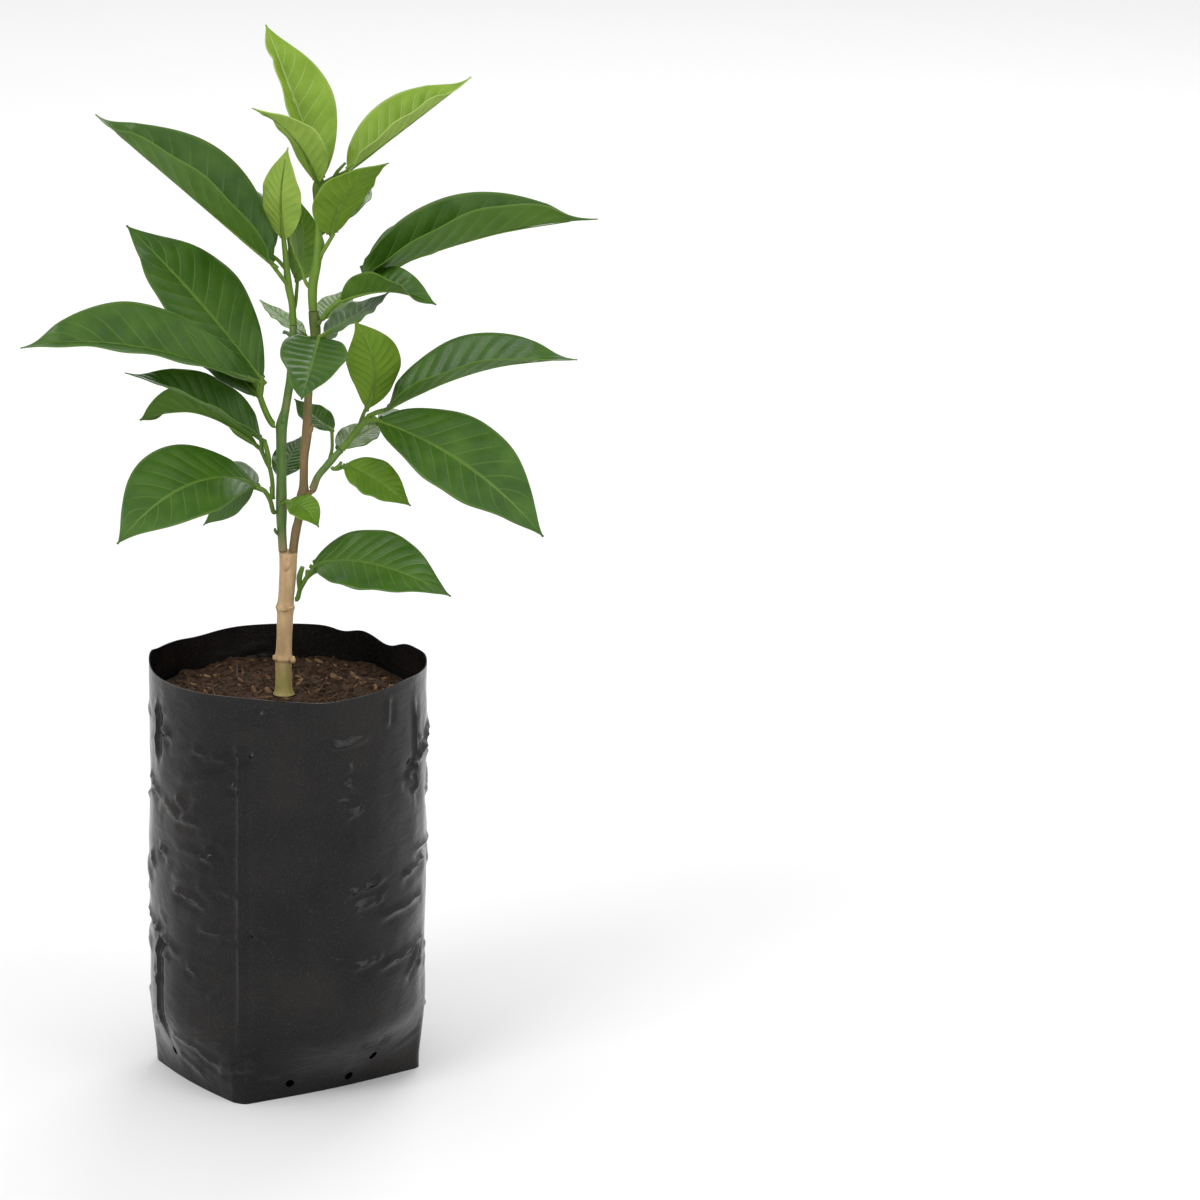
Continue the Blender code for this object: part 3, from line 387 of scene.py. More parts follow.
# each mass is one shoot: its stem, side twigs and leaves, in mm and degrees; a leaf runs from base to tip,
# its upper side looks along face, bow pushes its midrib, fold lifts its left and right half
shoots = {
    "crown_leaves": {
        "stem": ((11.3, -1.0, 362.8, 2.0), (11.2, -1.0, 374, 2.2), (13.2, -1.0, 387, 2.2),
                 (14.0, -1.0, 404, 1.6), (12.8, -1.0, 415, 1.5), (12.6, -1.0, 421, 1.4), (15.0, 0, 426, 1.0)),
        "twigs": (((11.0, -1.0, 372.5, 1.0), (8.2, -1.0, 375.5, 0.9), (6.4, 0, 381, 0.7),
                  (3.6, 2.0, 387, 0.7)),
                  ((13.6, -1.5, 387, 1.2), (16.8, -2.0, 392, 1.0), (20.8, -3.0, 399, 0.9)),
                  ((13.5, 0, 420, 1.0), (20, 1.5, 423.5, 1.0), (28, 2.0, 427.3, 0.9)),
                  ((14.5, -0.5, 398, 1.0), (18.5, 3.0, 400, 0.9), (21, 6, 402, 0.9)),
                  ((20.6, 1.4, 423.6, 0.9), (22.4, 0.5, 427.0, 0.8), (26.0, 0.5, 431.0, 0.6)),
                  ((14.8, 0, 424, 1.1), (17.0, -0.6, 429.0, 1.1), (17.6, -0.8, 433.5, 0.8)),
                  ((12.7, -0.6, 418.0, 1.2), (14.2, 1.2, 421.0, 1.1), (15.0, 3.0, 423.6, 1.0))),
        "leaves": {
            "tip_leaf": {"base": (15, 3, 423), "tip": (-10, 22, 490), "width": 36, "face": (0.35, -1, 0.3),
                         "fold": (60, 10), "bow": (0.5, 0, 0), "broad": 0.48},
            "curled_leaf": {"base": (13, -2, 423), "tip": (-16, -32, 463), "width": 25,
                            "face": (0.5, 0.6, 0.75), "fold": (20, 20), "bow": (3, 0, 5)},
            "flag_leaf": {"base": (27, 2, 427), "tip": (83, 14, 468), "width": 34, "face": (-0.2, 0, 1),
                          "fold": (68, 32)},
            "cupped_leaf": {"base": (20, -3, 399), "tip": (45, -36, 439), "width": 27,
                            "face": (-0.4, 0.8, 0.6), "fold": (8, 12), "bow": (-5, 0, 4), "broad": 0.4},
            "sliver_leaf": {"base": (4, 3, 386), "tip": (0, 10, 404), "width": 8, "face": (1, -0.3, 0.4)},
            "back_leaf": {"base": (21, 6, 402), "tip": (33, 66, 407), "width": 24, "face": (0.1, -0.2, 1),
                          "bow": (0, 0, 4)},
        },
    },
    "left_top_leaves": {
        "stem": ((2.4, 4.0, 355.0, 1.7), (1.8, 4.0, 364.4, 1.6), (0.2, 4.0, 373.3, 1.8),
                 (-0.9, 4.0, 384.0, 1.4), (-1.8, 4.0, 393, 1.2), (-2.2, 4.0, 396, 1.0)),
        "twigs": (((1.6, 5.0, 359.0, 0.9), (3.2, 6.4, 363.0, 0.9), (4.0, 7.4, 370.0, 0.8),
                  (4.4, 8.0, 376, 0.8)),
                  ((0.2, 3.6, 373.0, 1.1), (-3.2, 1.4, 378.0, 1.0), (-7.3, 0, 384.0, 1.0)),
                  ((-0.6, 4.6, 380.0, 1.0), (-4.5, 7.5, 384.0, 0.9), (-9, 9, 387, 0.9))),
        "leaves": {
            "pale_leaf": {"base": (-2, 4, 395), "tip": (0, -18, 442), "width": 20, "face": (0.5, 0.9, 0.3),
                          "fold": (5, 5), "bow": (-2, 0, 0)},
            "shaded_leaf": {"base": (4, 8, 375), "tip": (4, 32, 408), "width": 22, "face": (0.7, -0.8, 0.4),
                            "bow": (3, 0, 0)},
            "wing_leaf": {"base": (-7, 0, 384), "tip": (-87, 10, 451), "width": 54, "face": (0, 0, 1),
                          "fold": (41, 70), "broad": 0.45},
            "back_leaf": {"base": (-9, 9, 387), "tip": (-41, 68, 413), "width": 30, "face": (0.1, -0.2, 1),
                          "bow": (0, 0, 4)},
        },
    },
    "upper_left_leaves": {
        "stem": ((-5.9, 3.9, 307.7, 1.5), (-7.0, 3.8, 308.0, 1.5), (-9.3, 3.0, 312.0, 1.5),
                 (-12.3, 2.0, 320.0, 1.4), (-13.6, 1.0, 326.0, 1.3)),
        "twigs": (((-13.0, 1.5, 323.0, 1.0), (-13.8, 0.4, 327.5, 1.1), (-14.4, 0, 329.2, 1.0)),
                  ((-12.6, 2.0, 321.0, 1.1), (-11.8, 5.0, 325.5, 1.0), (-12, 8, 328, 1.0)),
                  ((-10.5, 3.0, 314.5, 1.0), (-12.0, 6.6, 317.5, 0.9), (-14, 10, 320, 0.9)),
                  ((-10.2, 3.4, 313.8, 1.0), (-12.0, 10.0, 318.0, 0.9), (-16, 15, 325, 0.9)),
                  ((-12.6, 1.2, 323, 1.2), (-12.0, 0.4, 328.5, 1.2), (-11.8, 0.2, 331.5, 0.9))),
        "leaves": {
            "broad_leaf": {"base": (-12, 8, 328), "tip": (-74, 38, 393), "width": 44,
                           "face": (0.35, -0.9, 0.6), "fold": (25, 5), "bow": (2, 0, 1), "broad": 0.5},
            "long_leaf": {"base": (-14, 0, 329), "tip": (-121, -14, 348), "width": 46, "face": (0, 0, 1),
                          "fold": (6, 58), "bow": (0, 0, 8.5), "peak": 0.55, "broad": 0.5},
            "under_leaf": {"base": (-14, 10, 320), "tip": (-45, 44, 334), "width": 22, "face": (0, -0.3, 1),
                           "bow": (0, 0, 3)},
            "back_leaf": {"base": (-16, 15, 325), "tip": (-50, 82, 351), "width": 30, "face": (0.2, -0.3, 1),
                          "bow": (0, 0, 5)},
        },
    },
    "middle_left_leaves": {
        "stem": ((-5.95, 3.3, 273.6, 1.0), (-7.0, 3.2, 274.0, 1.0), (-7.1, 2.8, 280, 1.0),
                 (-8.2, 2.4, 287, 1.0), (-10.0, 2.8, 290.6, 1.0), (-12.8, 3.6, 297.0, 0.9)),
        "twigs": (((-11.8, 3.2, 295.0, 0.9), (-12.2, 2.4, 299.0, 0.9), (-12.4, 2, 301.0, 0.9)),
                  ((-11.8, 3.4, 294.8, 0.9), (-13, 6, 296.5, 0.9)),
                  ((-8.6, 2.0, 288.0, 0.9), (-9.0, 1.6, 293.0, 1.2), (-10.6, 1.4, 300.5, 1.0))),
        "leaves": {
            "dark_leaf": {"base": (-12, 2, 301), "tip": (-74, -8, 335), "width": 31, "face": (0, 0, 1),
                          "fold": (12, 58), "bow": (0, 0, 4), "broad": 0.38},
            "turned_leaf": {"base": (-13, 6, 296), "tip": (-68, 22, 305), "width": 28, "face": (0, 0.9, 0.5),
                            "fold": (5, 65), "bow": (0, 0, 10), "broad": 0.6},
        },
    },
    "lower_left_leaves": {
        "stem": ((-5.8, 1.5, 267.0, 1.1), (-6.8, 1.0, 267.3, 1.1), (-7.9, 0.2, 272.0, 1.1),
                 (-9.6, -0.8, 276.0, 1.1), (-11.6, -1.6, 278.4, 1.1), (-15.0, -2.0, 279.9, 1.0)),
        "twigs": (((-10.5, -1.2, 277.4, 0.9), (-13.2, 2.0, 277.6, 0.9), (-16, 4, 278, 0.8)),
                  ((-10.0, -1.0, 276.6, 0.9), (-11.5, 3.0, 276.8, 0.9), (-15, 8, 278, 0.9)),
                  ((-7.9, 0, 273.0, 0.8), (-7.4, -0.8, 276.5, 1.0), (-7.8, -1.0, 279.5, 0.8))),
        "leaves": {
            "drooping_leaf": {"base": (-15, -2, 280), "tip": (-77, -50, 266), "width": 45,
                              "face": (-0.1, -0.5, 0.9), "fold": (0, 24), "bow": (-2, 0, 13), "peak": 0.45,
                              "broad": 0.5},
            "hidden_leaf": {"base": (-16, 4, 278), "tip": (-39, 18, 256), "width": 13,
                            "face": (0.1, -0.8, 0.6), "bow": (0, 0, 1)},
            "back_leaf": {"base": (-15, 8, 278), "tip": (-59, 68, 265), "width": 26, "face": (0.1, -0.2, 1),
                          "bow": (0, 0, 5)},
        },
    },
    "front_bud_leaf": {
        "stem": ((-2.6, 0.2, 271.4, 0.8), (-2.4, -0.9, 271.6, 0.8), (-1.2, -4.0, 273.4, 0.7),
                 (0.3, -5.8, 273.9, 0.7)),
        "twigs": (),
        "leaves": {
            "small_leaf": {"base": (0, -6, 274), "tip": (14, -18, 265), "width": 15, "face": (0.1, -0.4, 0.9),
                           "fold": (40, 0), "bow": (1, 0, 2)},
        },
    },
    "low_back_leaf": {
        "stem": ((-3.1, 6.5, 279.8, 0.9), (-3.2, 7.6, 280.2, 0.9), (-4.0, 9.0, 282.4, 0.8)),
        "twigs": (),
        "leaves": {
            "back_leaf": {"base": (-4, 9, 282), "tip": (6, 38, 293), "width": 15, "face": (0, -0.8, 0.7)},
        },
    },
    "right_leaves": {
        "stem": ((24.5, -2.0, 297.6, 1.6), (28.3, -2.0, 302.2, 1.5), (32.0, -2.0, 307.2, 1.7),
                 (35.6, -2.0, 311.6, 1.4), (37.4, -2.0, 313.6, 1.3)),
        "twigs": (((35.0, -2.4, 311.0, 1.0), (38.0, -4.0, 312.2, 1.0), (41, -5, 312.2, 1.0)),
                  ((37.0, -2.0, 313.4, 1.1), (41.1, -1.0, 315.0, 1.1), (45.2, 0, 315.8, 1.0)),
                  ((32.0, -1.8, 307.0, 1.0), (33.8, 0.6, 311.8, 0.9), (35.5, 2.0, 315.7, 0.9)),
                  ((26.0, -1.0, 299.5, 0.9), (24.0, 5.0, 297.0, 0.8), (23, 8, 296, 0.8)),
                  ((34.0, -1.0, 309.5, 1.0), (39.0, 5.0, 308.0, 0.9), (44, 8, 307, 0.9))),
        "leaves": {
            "front_leaf": {"base": (41, -5, 312), "tip": (116, -34, 265), "width": 44,
                           "face": (0.2, -0.75, 0.7), "fold": (12, 15), "bow": (3, 0, 6), "broad": 0.47},
            "arched_leaf": {"base": (45, 0, 316), "tip": (131, -22, 345), "width": 40, "face": (-0.1, 0, 1),
                            "fold": (58, 25), "bow": (0, 0, 7)},
            "bright_leaf": {"base": (36, 2, 316), "tip": (30, -14, 361), "width": 26, "face": (-0.2, 1, 0.3),
                            "fold": (10, 25), "bow": (6, 0, 0), "broad": 0.5},
            "shaded_leaf": {"base": (23, 8, 296), "tip": (44, 40, 299), "width": 16, "face": (0, -0.6, 0.8),
                            "fold": (10, 20)},
            "back_leaf": {"base": (44, 8, 307), "tip": (89, 75, 265), "width": 34, "face": (0.1, -0.2, 1),
                          "bow": (0, 0, 8)},
        },
    },
    "inner_right_leaf": {
        "stem": ((19.0, 0.1, 291.3, 0.9), (19.0, 1.4, 291.8, 0.9), (20.2, 3.2, 297.0, 0.8),
                 (20.0, 4.3, 305.6, 0.8)),
        "twigs": (),
        "leaves": {
            "inner_leaf": {"base": (20, 4, 305), "tip": (3, 30, 313), "width": 14, "face": (0.2, -0.6, 0.7),
                           "fold": (10, 20)},
        },
    },
    "small_right_leaf": {
        "stem": ((20.1, -3.3, 289.4, 0.9), (20.8, -3.8, 288.8, 0.9), (22.8, -3.4, 288.6, 0.8),
                 (25.6, -3.0, 289.8, 0.8)),
        "twigs": (((21.4, -3.6, 288.7, 0.9), (23.4, -3.8, 290.4, 0.9), (24.4, -3.8, 292.2, 0.7)),),
        "leaves": {
            "small_leaf": {"base": (26, -3, 290), "tip": (56, -14, 274), "width": 21,
                           "face": (0.1, -0.7, 0.7), "fold": (10, 15), "bow": (0.5, 0, 1.5)},
        },
    },
    "upper_right_leaves": {
        "stem": ((15.1, -1.2, 359.0, 1.3), (16.1, -1.5, 359.4, 1.3), (18.6, -2.2, 363.0, 1.2),
                 (21.8, -2.6, 366.2, 1.2),
                 (25.2, -2.0, 369.6, 1.1), (30.0, -0.6, 374.4, 1.0), (33.6, 2.0, 378.0, 1.0)),
        "twigs": (((22.5, -2.6, 366.9, 0.9), (25.0, -3.8, 368.2, 0.9)),
                  ((29.0, -0.8, 373.4, 0.9), (33.0, 4.0, 375.0, 0.9), (38, 9, 378, 0.9))),
        "leaves": {
            "long_leaf": {"base": (34, 2, 378), "tip": (141, 10, 403), "width": 48, "face": (-0.1, 0, 1),
                          "fold": (78, 50), "twist": -50, "bow": (0, 0, 5), "peak": 0.55, "broad": 0.4},
            "twisted_leaf": {"base": (25, -4, 368), "tip": (67, -20, 370), "width": 27, "face": (0, 0, 1),
                             "fold": (55, 48), "twist": 70, "bow": (0, 0, 5.5)},
            "back_leaf": {"base": (38, 9, 378), "tip": (93, 78, 387), "width": 30, "face": (0.1, -0.2, 1),
                          "bow": (0, 0, 5)},
        },
    },
    "front_leaves": {
        "stem": ((12.6, -3.8, 349.6, 0.9), (12.8, -5.0, 349.9, 0.9), (13.6, -6.2, 351.0, 0.9)),
        "twigs": (((13.1, -5.5, 350.4, 0.8), (17.2, -5.4, 352.8, 0.8)),),
        "leaves": {
            "facing_leaf": {"base": (14, -6, 351), "tip": (6, -60, 336), "width": 33,
                            "face": (-0.15, -0.4, 1), "fold": (8, 38), "broad": 0.4},
            "level_leaf": {"base": (17, -5.4, 352.8), "tip": (46, 12, 368), "width": 24,
                           "face": (-0.3, -0.05, 1), "fold": (10, 5)},
        },
    },
    "behind_leaves": {
        "stem": ((10.6, 1.6, 345.6, 0.9), (10.2, 3.2, 346.0, 0.9), (9.8, 5.4, 346.6, 0.9)),
        "twigs": (((10.0, 4.6, 346.4, 0.8), (7.4, 8.2, 348.8, 0.8)),
                  ((9.9, 4.9, 346.4, 0.8), (13.0, 9.0, 351.0, 0.8), (15.0, 13.2, 355.4, 0.8))),
        "leaves": {
            "left_leaf": {"base": (7.4, 8.2, 349), "tip": (-13, 30, 360), "width": 14,
                          "face": (0, 0.15, 0.9)},
            "shaded_leaf": {"base": (15, 13, 355), "tip": (29, 50, 361), "width": 16,
                            "face": (-0.2, -0.5, 0.8)},
            "back_leaf": {"base": (9.8, 5.4, 346.5), "tip": (11, 70, 322), "width": 26, "face": (0, -0.2, 1),
                          "bow": (0, 0, 6)},
        },
    },
    "low_right_leaves": {
        "stem": ((3.3, -1.0, 226.0, 1.1), (4.4, -1.2, 226.5, 1.1), (5.6, -1.6, 231.0, 1.1),
                 (7.6, -2.2, 235.0, 1.1), (9.4, -2.8, 238.4, 1.0), (11.9, -3.0, 241.5, 1.0)),
        "twigs": (((5.4, -1.6, 230.5, 1.0), (5.2, -2.2, 236.5, 1.3), (6.7, -2.8, 242.0, 1.0)),
                  ((8.8, -2.6, 237.2, 1.0), (9.0, -2.9, 240.4, 1.0)),
                  ((8.0, -2.2, 235.8, 0.9), (12.0, 2.0, 238.0, 0.9), (16, 5, 238, 0.9))),
        "leaves": {
            "low_leaf": {"base": (12, -3, 242), "tip": (74, -38, 238), "width": 36, "face": (0.1, -0.6, 0.8),
                         "fold": (15, 5), "bow": (0, 0, 7.5), "peak": 0.42},
            "back_leaf": {"base": (16, 5, 238), "tip": (53, 64, 227), "width": 22, "face": (0.1, -0.2, 1),
                          "bow": (0, 0, 4)},
        },
    },
}

# foliage: every leaf by the same rule as the solids, with veins, quilting and a rippled edge; lengths in mm
leafShape = {
    "rows": 64, "columns": 24, "thickness": 0.45, "endReach": 0.3, "softness": 0.10, "quilt": 0.32,
    "fullWidth": 30, "groove": 0.30, "grooveWidth": 0.05, "ripple": 0.55, "waves": (2.6, 4.2),
    "waveLean": 1.8, "veins": 11.0, "veinSweep": 0.19, "foldEnd": 1.0, "foldFrom": 9.0,
    "outline": (0.015, 0.985), "taper": 0.75, "taperMore": 0.5, "quiltEnds": 0.6, "quiltSides": 0.8,
}
usualLeaf = {"peak": 0.5, "broad": 0.42, "fold": (10, 10), "twist": 0, "bow": (0, 0, 0)}
# how far from the midrib, 0 to 1, each kind of vein starts and fades
veinLook = {"midrib": (0.012, 0.055), "lateral": 0.085, "lateralFade": (0.55, 0.95), "margin": (0.93, 0.99)}


def makeVeinGroup(name, look, shape):  # a midrib and side veins that run forward to the margin
    ins = (("Place", "NodeSocketVector", None), ("Veins", "NodeSocketFloat", shape["veins"]))
    outs = (("Midrib", "NodeSocketFloat"), ("Laterals", "NodeSocketFloat"), ("Margin", "NodeSocketFloat"))
    tree, start, end = groupWith(name, ins, outs)
    split = put(tree, "ShaderNodeSeparateXYZ", {0: start.outputs["Place"]})
    across = calc(tree, "SUBTRACT", calc(tree, "MULTIPLY", split.outputs[1], 2.0), 1.0)
    away = calc(tree, "ABSOLUTE", across)
    sweep = calc(tree, "SUBTRACT", split.outputs[0], calc(tree, "MULTIPLY", away, shape["veinSweep"]))
    side = calc(tree, "MULTIPLY", calc(tree, "GREATER_THAN", across, 0.0), 0.5)
    phase = calc(tree, "ADD", calc(tree, "MULTIPLY", sweep, start.outputs["Veins"]), side)
    near = calc(tree, "ABSOLUTE", calc(tree, "SUBTRACT", calc(tree, "FRACT", phase), 0.5))
    lateral = calc(tree, "MULTIPLY", span(tree, near, 0.0, look["lateral"], 1.0, 0.0),
                   span(tree, away, *look["lateralFade"], 1.0, 0.0))
    tree.links.new(lateral, end.inputs["Laterals"])
    tree.links.new(span(tree, away, *look["midrib"], 1.0, 0.0), end.inputs["Midrib"])
    tree.links.new(span(tree, away, *look["margin"]), end.inputs["Margin"])
    return tree


veinTree = makeVeinGroup("veinGroup", veinLook, leafShape)
leafLook = {
    "upperSpecular": 0.34, "underSpecular": 0.15, "underRougher": 0.2, "underPale": 0.28,
    "grainRougher": 0.16, "patchScale": 75.0, "patchShare": 0.75, "grainScale": 1400.0, "grainShare": 0.18,
    "lateralShare": 0.45, "midribShare": 0.85, "marginShare": 0.5, "bumpGrain": 0.25, "bumpVein": 0.7,
    "bumpDepth": 0.00025, "bumpStrength": 0.6,
}
leafFinishes = {  # deep colour, light colour, the veins' colour, roughness
    "mature": ((0.024, 0.078, 0.004, 1), (0.058, 0.140, 0.010, 1), (0.120, 0.210, 0.035, 1), 0.30),
    # fresh and young are lighter greens: partly the tone of young growth, partly painted light, a brighter
    # base colour standing in for light shining through backlit blades
    "fresh": ((0.058, 0.145, 0.004, 1), (0.130, 0.235, 0.010, 1), (0.220, 0.330, 0.050, 1), 0.34),
    "young": ((0.150, 0.265, 0.006, 1), (0.260, 0.400, 0.045, 1), (0.400, 0.530, 0.160, 1), 0.38),
}
# the leaves that take the fresh and young finishes; on the backlit ones the extra brightness is a painted
# glow of light through the blade
freshGreenAndPaintedLightLeaves = {"bright_leaf", "small_leaf", "cupped_leaf", "sliver_leaf", "shaded_leaf", "left_leaf"}
youngGreenAndPaintedLightLeaves = {"tip_leaf", "curled_leaf", "flag_leaf", "pale_leaf"}


def leafMaterial(name, deep, light, veinColour, roughness, under, look):
    made, tree, shader = startMaterial(name, roughness, look["underSpecular" if under else "upperSpecular"])
    surface = put(tree, "ShaderNodeUVMap", uv_map="leafMap").outputs["UV"]
    veins = useGroup(tree, veinTree, {"Place": surface, "Veins": leafShape["veins"]})
    spots = useGroup(tree, mottleTree, {"Place": objectPlace(tree), "Patch": look["patchScale"],
                                        "Grain": look["grainScale"]})
    patches, grains = spots.outputs["Patches"], spots.outputs["Grains"]
    colour = blendColour(tree, calc(tree, "MULTIPLY", patches, look["patchShare"]), deep, light)
    colour = blendColour(tree, calc(tree, "MULTIPLY", grains, look["grainShare"]), colour, light)
    for title, share in (("Laterals", "lateralShare"), ("Midrib", "midribShare"), ("Margin", "marginShare")):
        mask = calc(tree, "MULTIPLY", veins.outputs[title], look[share])
        colour = blendColour(tree, mask, colour, veinColour)
    tree.links.new(colour, shader.inputs["Base Color"])
    dull = span(tree, grains, 0.0, 1.0, roughness, roughness + look["grainRougher"])
    tree.links.new(dull, shader.inputs["Roughness"])
    veinHeight = look["bumpVein"] if under else -look["bumpVein"]  # veins are sunk above and raised below
    height = calc(tree, "ADD", calc(tree, "MULTIPLY", grains, look["bumpGrain"]),
                  calc(tree, "MULTIPLY", veins.outputs["Laterals"], veinHeight))
    addBump(tree, shader, height, look["bumpDepth"], look["bumpStrength"])
    return made


def makeLeafMaterials(finishes, look):  # the upper side of each finish, and then its paler under side
    made = []
    for title, (deep, light, veinColour, roughness) in finishes.items():
        pale = look["underPale"]
        paler = [tuple((1 - pale) * part + pale * other for part, other in zip(colour, veinColour))
                 for colour in (deep, light)]
        made.append(leafMaterial(title + "LeafUpper", deep, light, veinColour, roughness, False, look))
        made.append(leafMaterial(title + "LeafUnder", *paler, veinColour, roughness + look["underRougher"],
                                 True, look))
    return made


leafMaterials = makeLeafMaterials(leafFinishes, leafLook)


def upperSlot(title):  # the slot of the leaf's upper side; its under side has the next one
    # the fresh and young finishes carry painted light on backlit leaves
    finish = "young" if title in youngGreenAndPaintedLightLeaves else "fresh" if title in freshGreenAndPaintedLightLeaves else "mature"
    return 2 * list(leafFinishes).index(finish)


def powerFor(middle):  # the power that takes this share of the length to a half
    return math.log(0.5) / math.log(middle)


def bladePoints(leaf, shape, draw):  # a grid over the blade, in metres, and its place on the leaf's own map
    rows, columns = shape["rows"], shape["columns"]
    along = np.linspace(0.0, 1.0, rows + 1)
    ease = np.clip(along, *shape["outline"])
    base, tip, bow, face = (np.array(leaf[key], float) for key in ("base", "tip", "bow", "face"))
    swell = along ** powerFor(leaf["peak"])
    midrib = base + (tip - base) * along[:, None] + bow * (4 * swell * (1 - swell))[:, None]
    run = np.gradient(midrib, along, axis=0)
    run /= np.linalg.norm(run, axis=1)[:, None]
    up = face - (run @ face)[:, None] * run
    up /= np.linalg.norm(up, axis=1)[:, None]
    turn = np.radians(leaf["twist"]) * (along - 0.5)
    right = np.cross(run, up)
    up = up * np.cos(turn)[:, None] + right * np.sin(turn)[:, None]
    right = np.cross(run, up)
    half = np.sin(math.pi * ease ** powerFor(leaf["broad"])) ** (shape["taper"] + shape["taperMore"] * ease)
    reach = np.maximum(leaf["width"] / 2 * half, shape["endReach"])
    foldEase = np.clip((reach - shape["foldEnd"]) / shape["foldFrom"], 0.0, 1.0)
    leftFold, rightFold = leaf["fold"]
    start = draw.uniform(0, math.tau)
    waves = draw.uniform(*shape["waves"])
    points, places = [], []
    for column in range(columns + 1):
        across = 2.0 * column / columns - 1.0
        away = abs(across)
        angle = np.radians(rightFold if across > 0 else leftFold) * foldEase
        soft = math.sqrt(away ** 2 + shape["softness"] ** 2) - shape["softness"]
        phase = (along - shape["veinSweep"] * away) * shape["veins"] + (0.5 if across > 0 else 0.0)
        window = (min(1.0, leaf["width"] / shape["fullWidth"])
                  * np.sin(math.pi * along) ** shape["quiltEnds"]
                  * math.sin(math.pi * away) ** shape["quiltSides"])
        relief = shape["quilt"] * np.cos(math.tau * phase) * window
        relief -= shape["groove"] * math.exp(-(across / shape["grooveWidth"]) ** 2) * np.sin(math.pi * along)
        wave = start + math.tau * waves * along + shape["waveLean"] * across
        relief += shape["ripple"] * away ** 3 * np.sin(wave) * foldEase
        lean = -np.sin(angle) * (1 if across > 0 else -1)
        normal = up * np.cos(angle)[:, None] + right * lean[:, None]
        spot = (midrib + right * (reach * across * np.cos(angle))[:, None]
                + up * (reach * soft * np.sin(angle))[:, None] + normal * relief[:, None])
        points.append(spot)
        places.append(np.column_stack((along, np.full(rows + 1, (across + 1) / 2))))
    return np.stack(points, axis=1) * mm, np.stack(places, axis=1)


def makeBlades(name, leaves, shape, seed):
    draw = random.Random(seed)
    rows, columns = shape["rows"], shape["columns"]
    points, places, faces, looks = [], [], [], []
    for title, leaf in leaves.items():
        grid, flat = bladePoints({**usualLeaf, **leaf}, shape, draw)
        first = len(points) * (rows + 1) * (columns + 1)
        points.append(grid.reshape(-1, 3))
        places.append(flat.reshape(-1, 2))
        for row in range(rows):
            for column in range(columns):
                corner = first + row * (columns + 1) + column
                faces.append((corner, corner + 1, corner + columns + 2, corner + columns + 1))
        looks += [upperSlot(title)] * (rows * columns)
    piece = meshFrom(name, np.concatenate(points).tolist(), faces)
    for made in leafMaterials:
        piece.data.materials.append(made)
    piece.data.polygons.foreach_set("material_index", looks)
    flat = np.concatenate(places)
    corners = np.empty(len(piece.data.loops), dtype=np.int32)
    piece.data.loops.foreach_get("vertex_index", corners)
    piece.data.uv_layers.new(name="leafMap").data.foreach_set("uv", flat[corners].ravel())
    wall = piece.modifiers.new("blade", "SOLIDIFY")
    wall.thickness = shape["thickness"] * mm
    wall.offset = 0.0
    wall.material_offset = 1  # the under side has the next slot
    wall.material_offset_rim = 1
    return bakeDown(piece)


stalkLook = {  # (how far along the leaf, radius in mm), and how far under the blade it lies
    "profile": ((-0.03, 1.0), (0.0, 1.05), (0.06, 0.95), (0.14, 0.8), (0.35, 0.55), (0.6, 0.4), (0.88, 0.2)),
    "depth": 0.35, "sink": 8,
}


def stalkPath(leaf, look):  # the stalk runs on under the blade as its midrib
    base, tip, bow, face = (np.array(leaf[key], float) for key in ("base", "tip", "bow", "face"))
    run = (tip - base) / np.linalg.norm(tip - base)
    under = face - (face @ run) * run
    under /= np.linalg.norm(under)
    points = []
    for along, radius in look["profile"]:
        swell = max(along, 0.0) ** powerFor(leaf["peak"])
        depth = look["depth"] * min(max(along, 0) * look["sink"], 1)
        spot = base + (tip - base) * along + bow * 4 * swell * (1 - swell) - under * depth
        points.append((*spot, radius))
    return tuple(points)


firstLeafSeed = 11
for number, (name, shoot) in enumerate(shoots.items()):
    slotName = "young_leaf_green" if name == "crown_leaves" else "leaf_green"
    paths = [shoot["stem"], *shoot["twigs"]]
    paths += [stalkPath({**usualLeaf, **leaf}, stalkLook) for leaf in shoot["leaves"].values()]
    settle(makeTubes(name + "Stalks", paths, barks["shootBark"], tubeLooks["stalk"]), name)
    settle(makeBlades(name + "Blades", shoot["leaves"], leafShape, firstLeafSeed + number), name)
print("foliage grown")

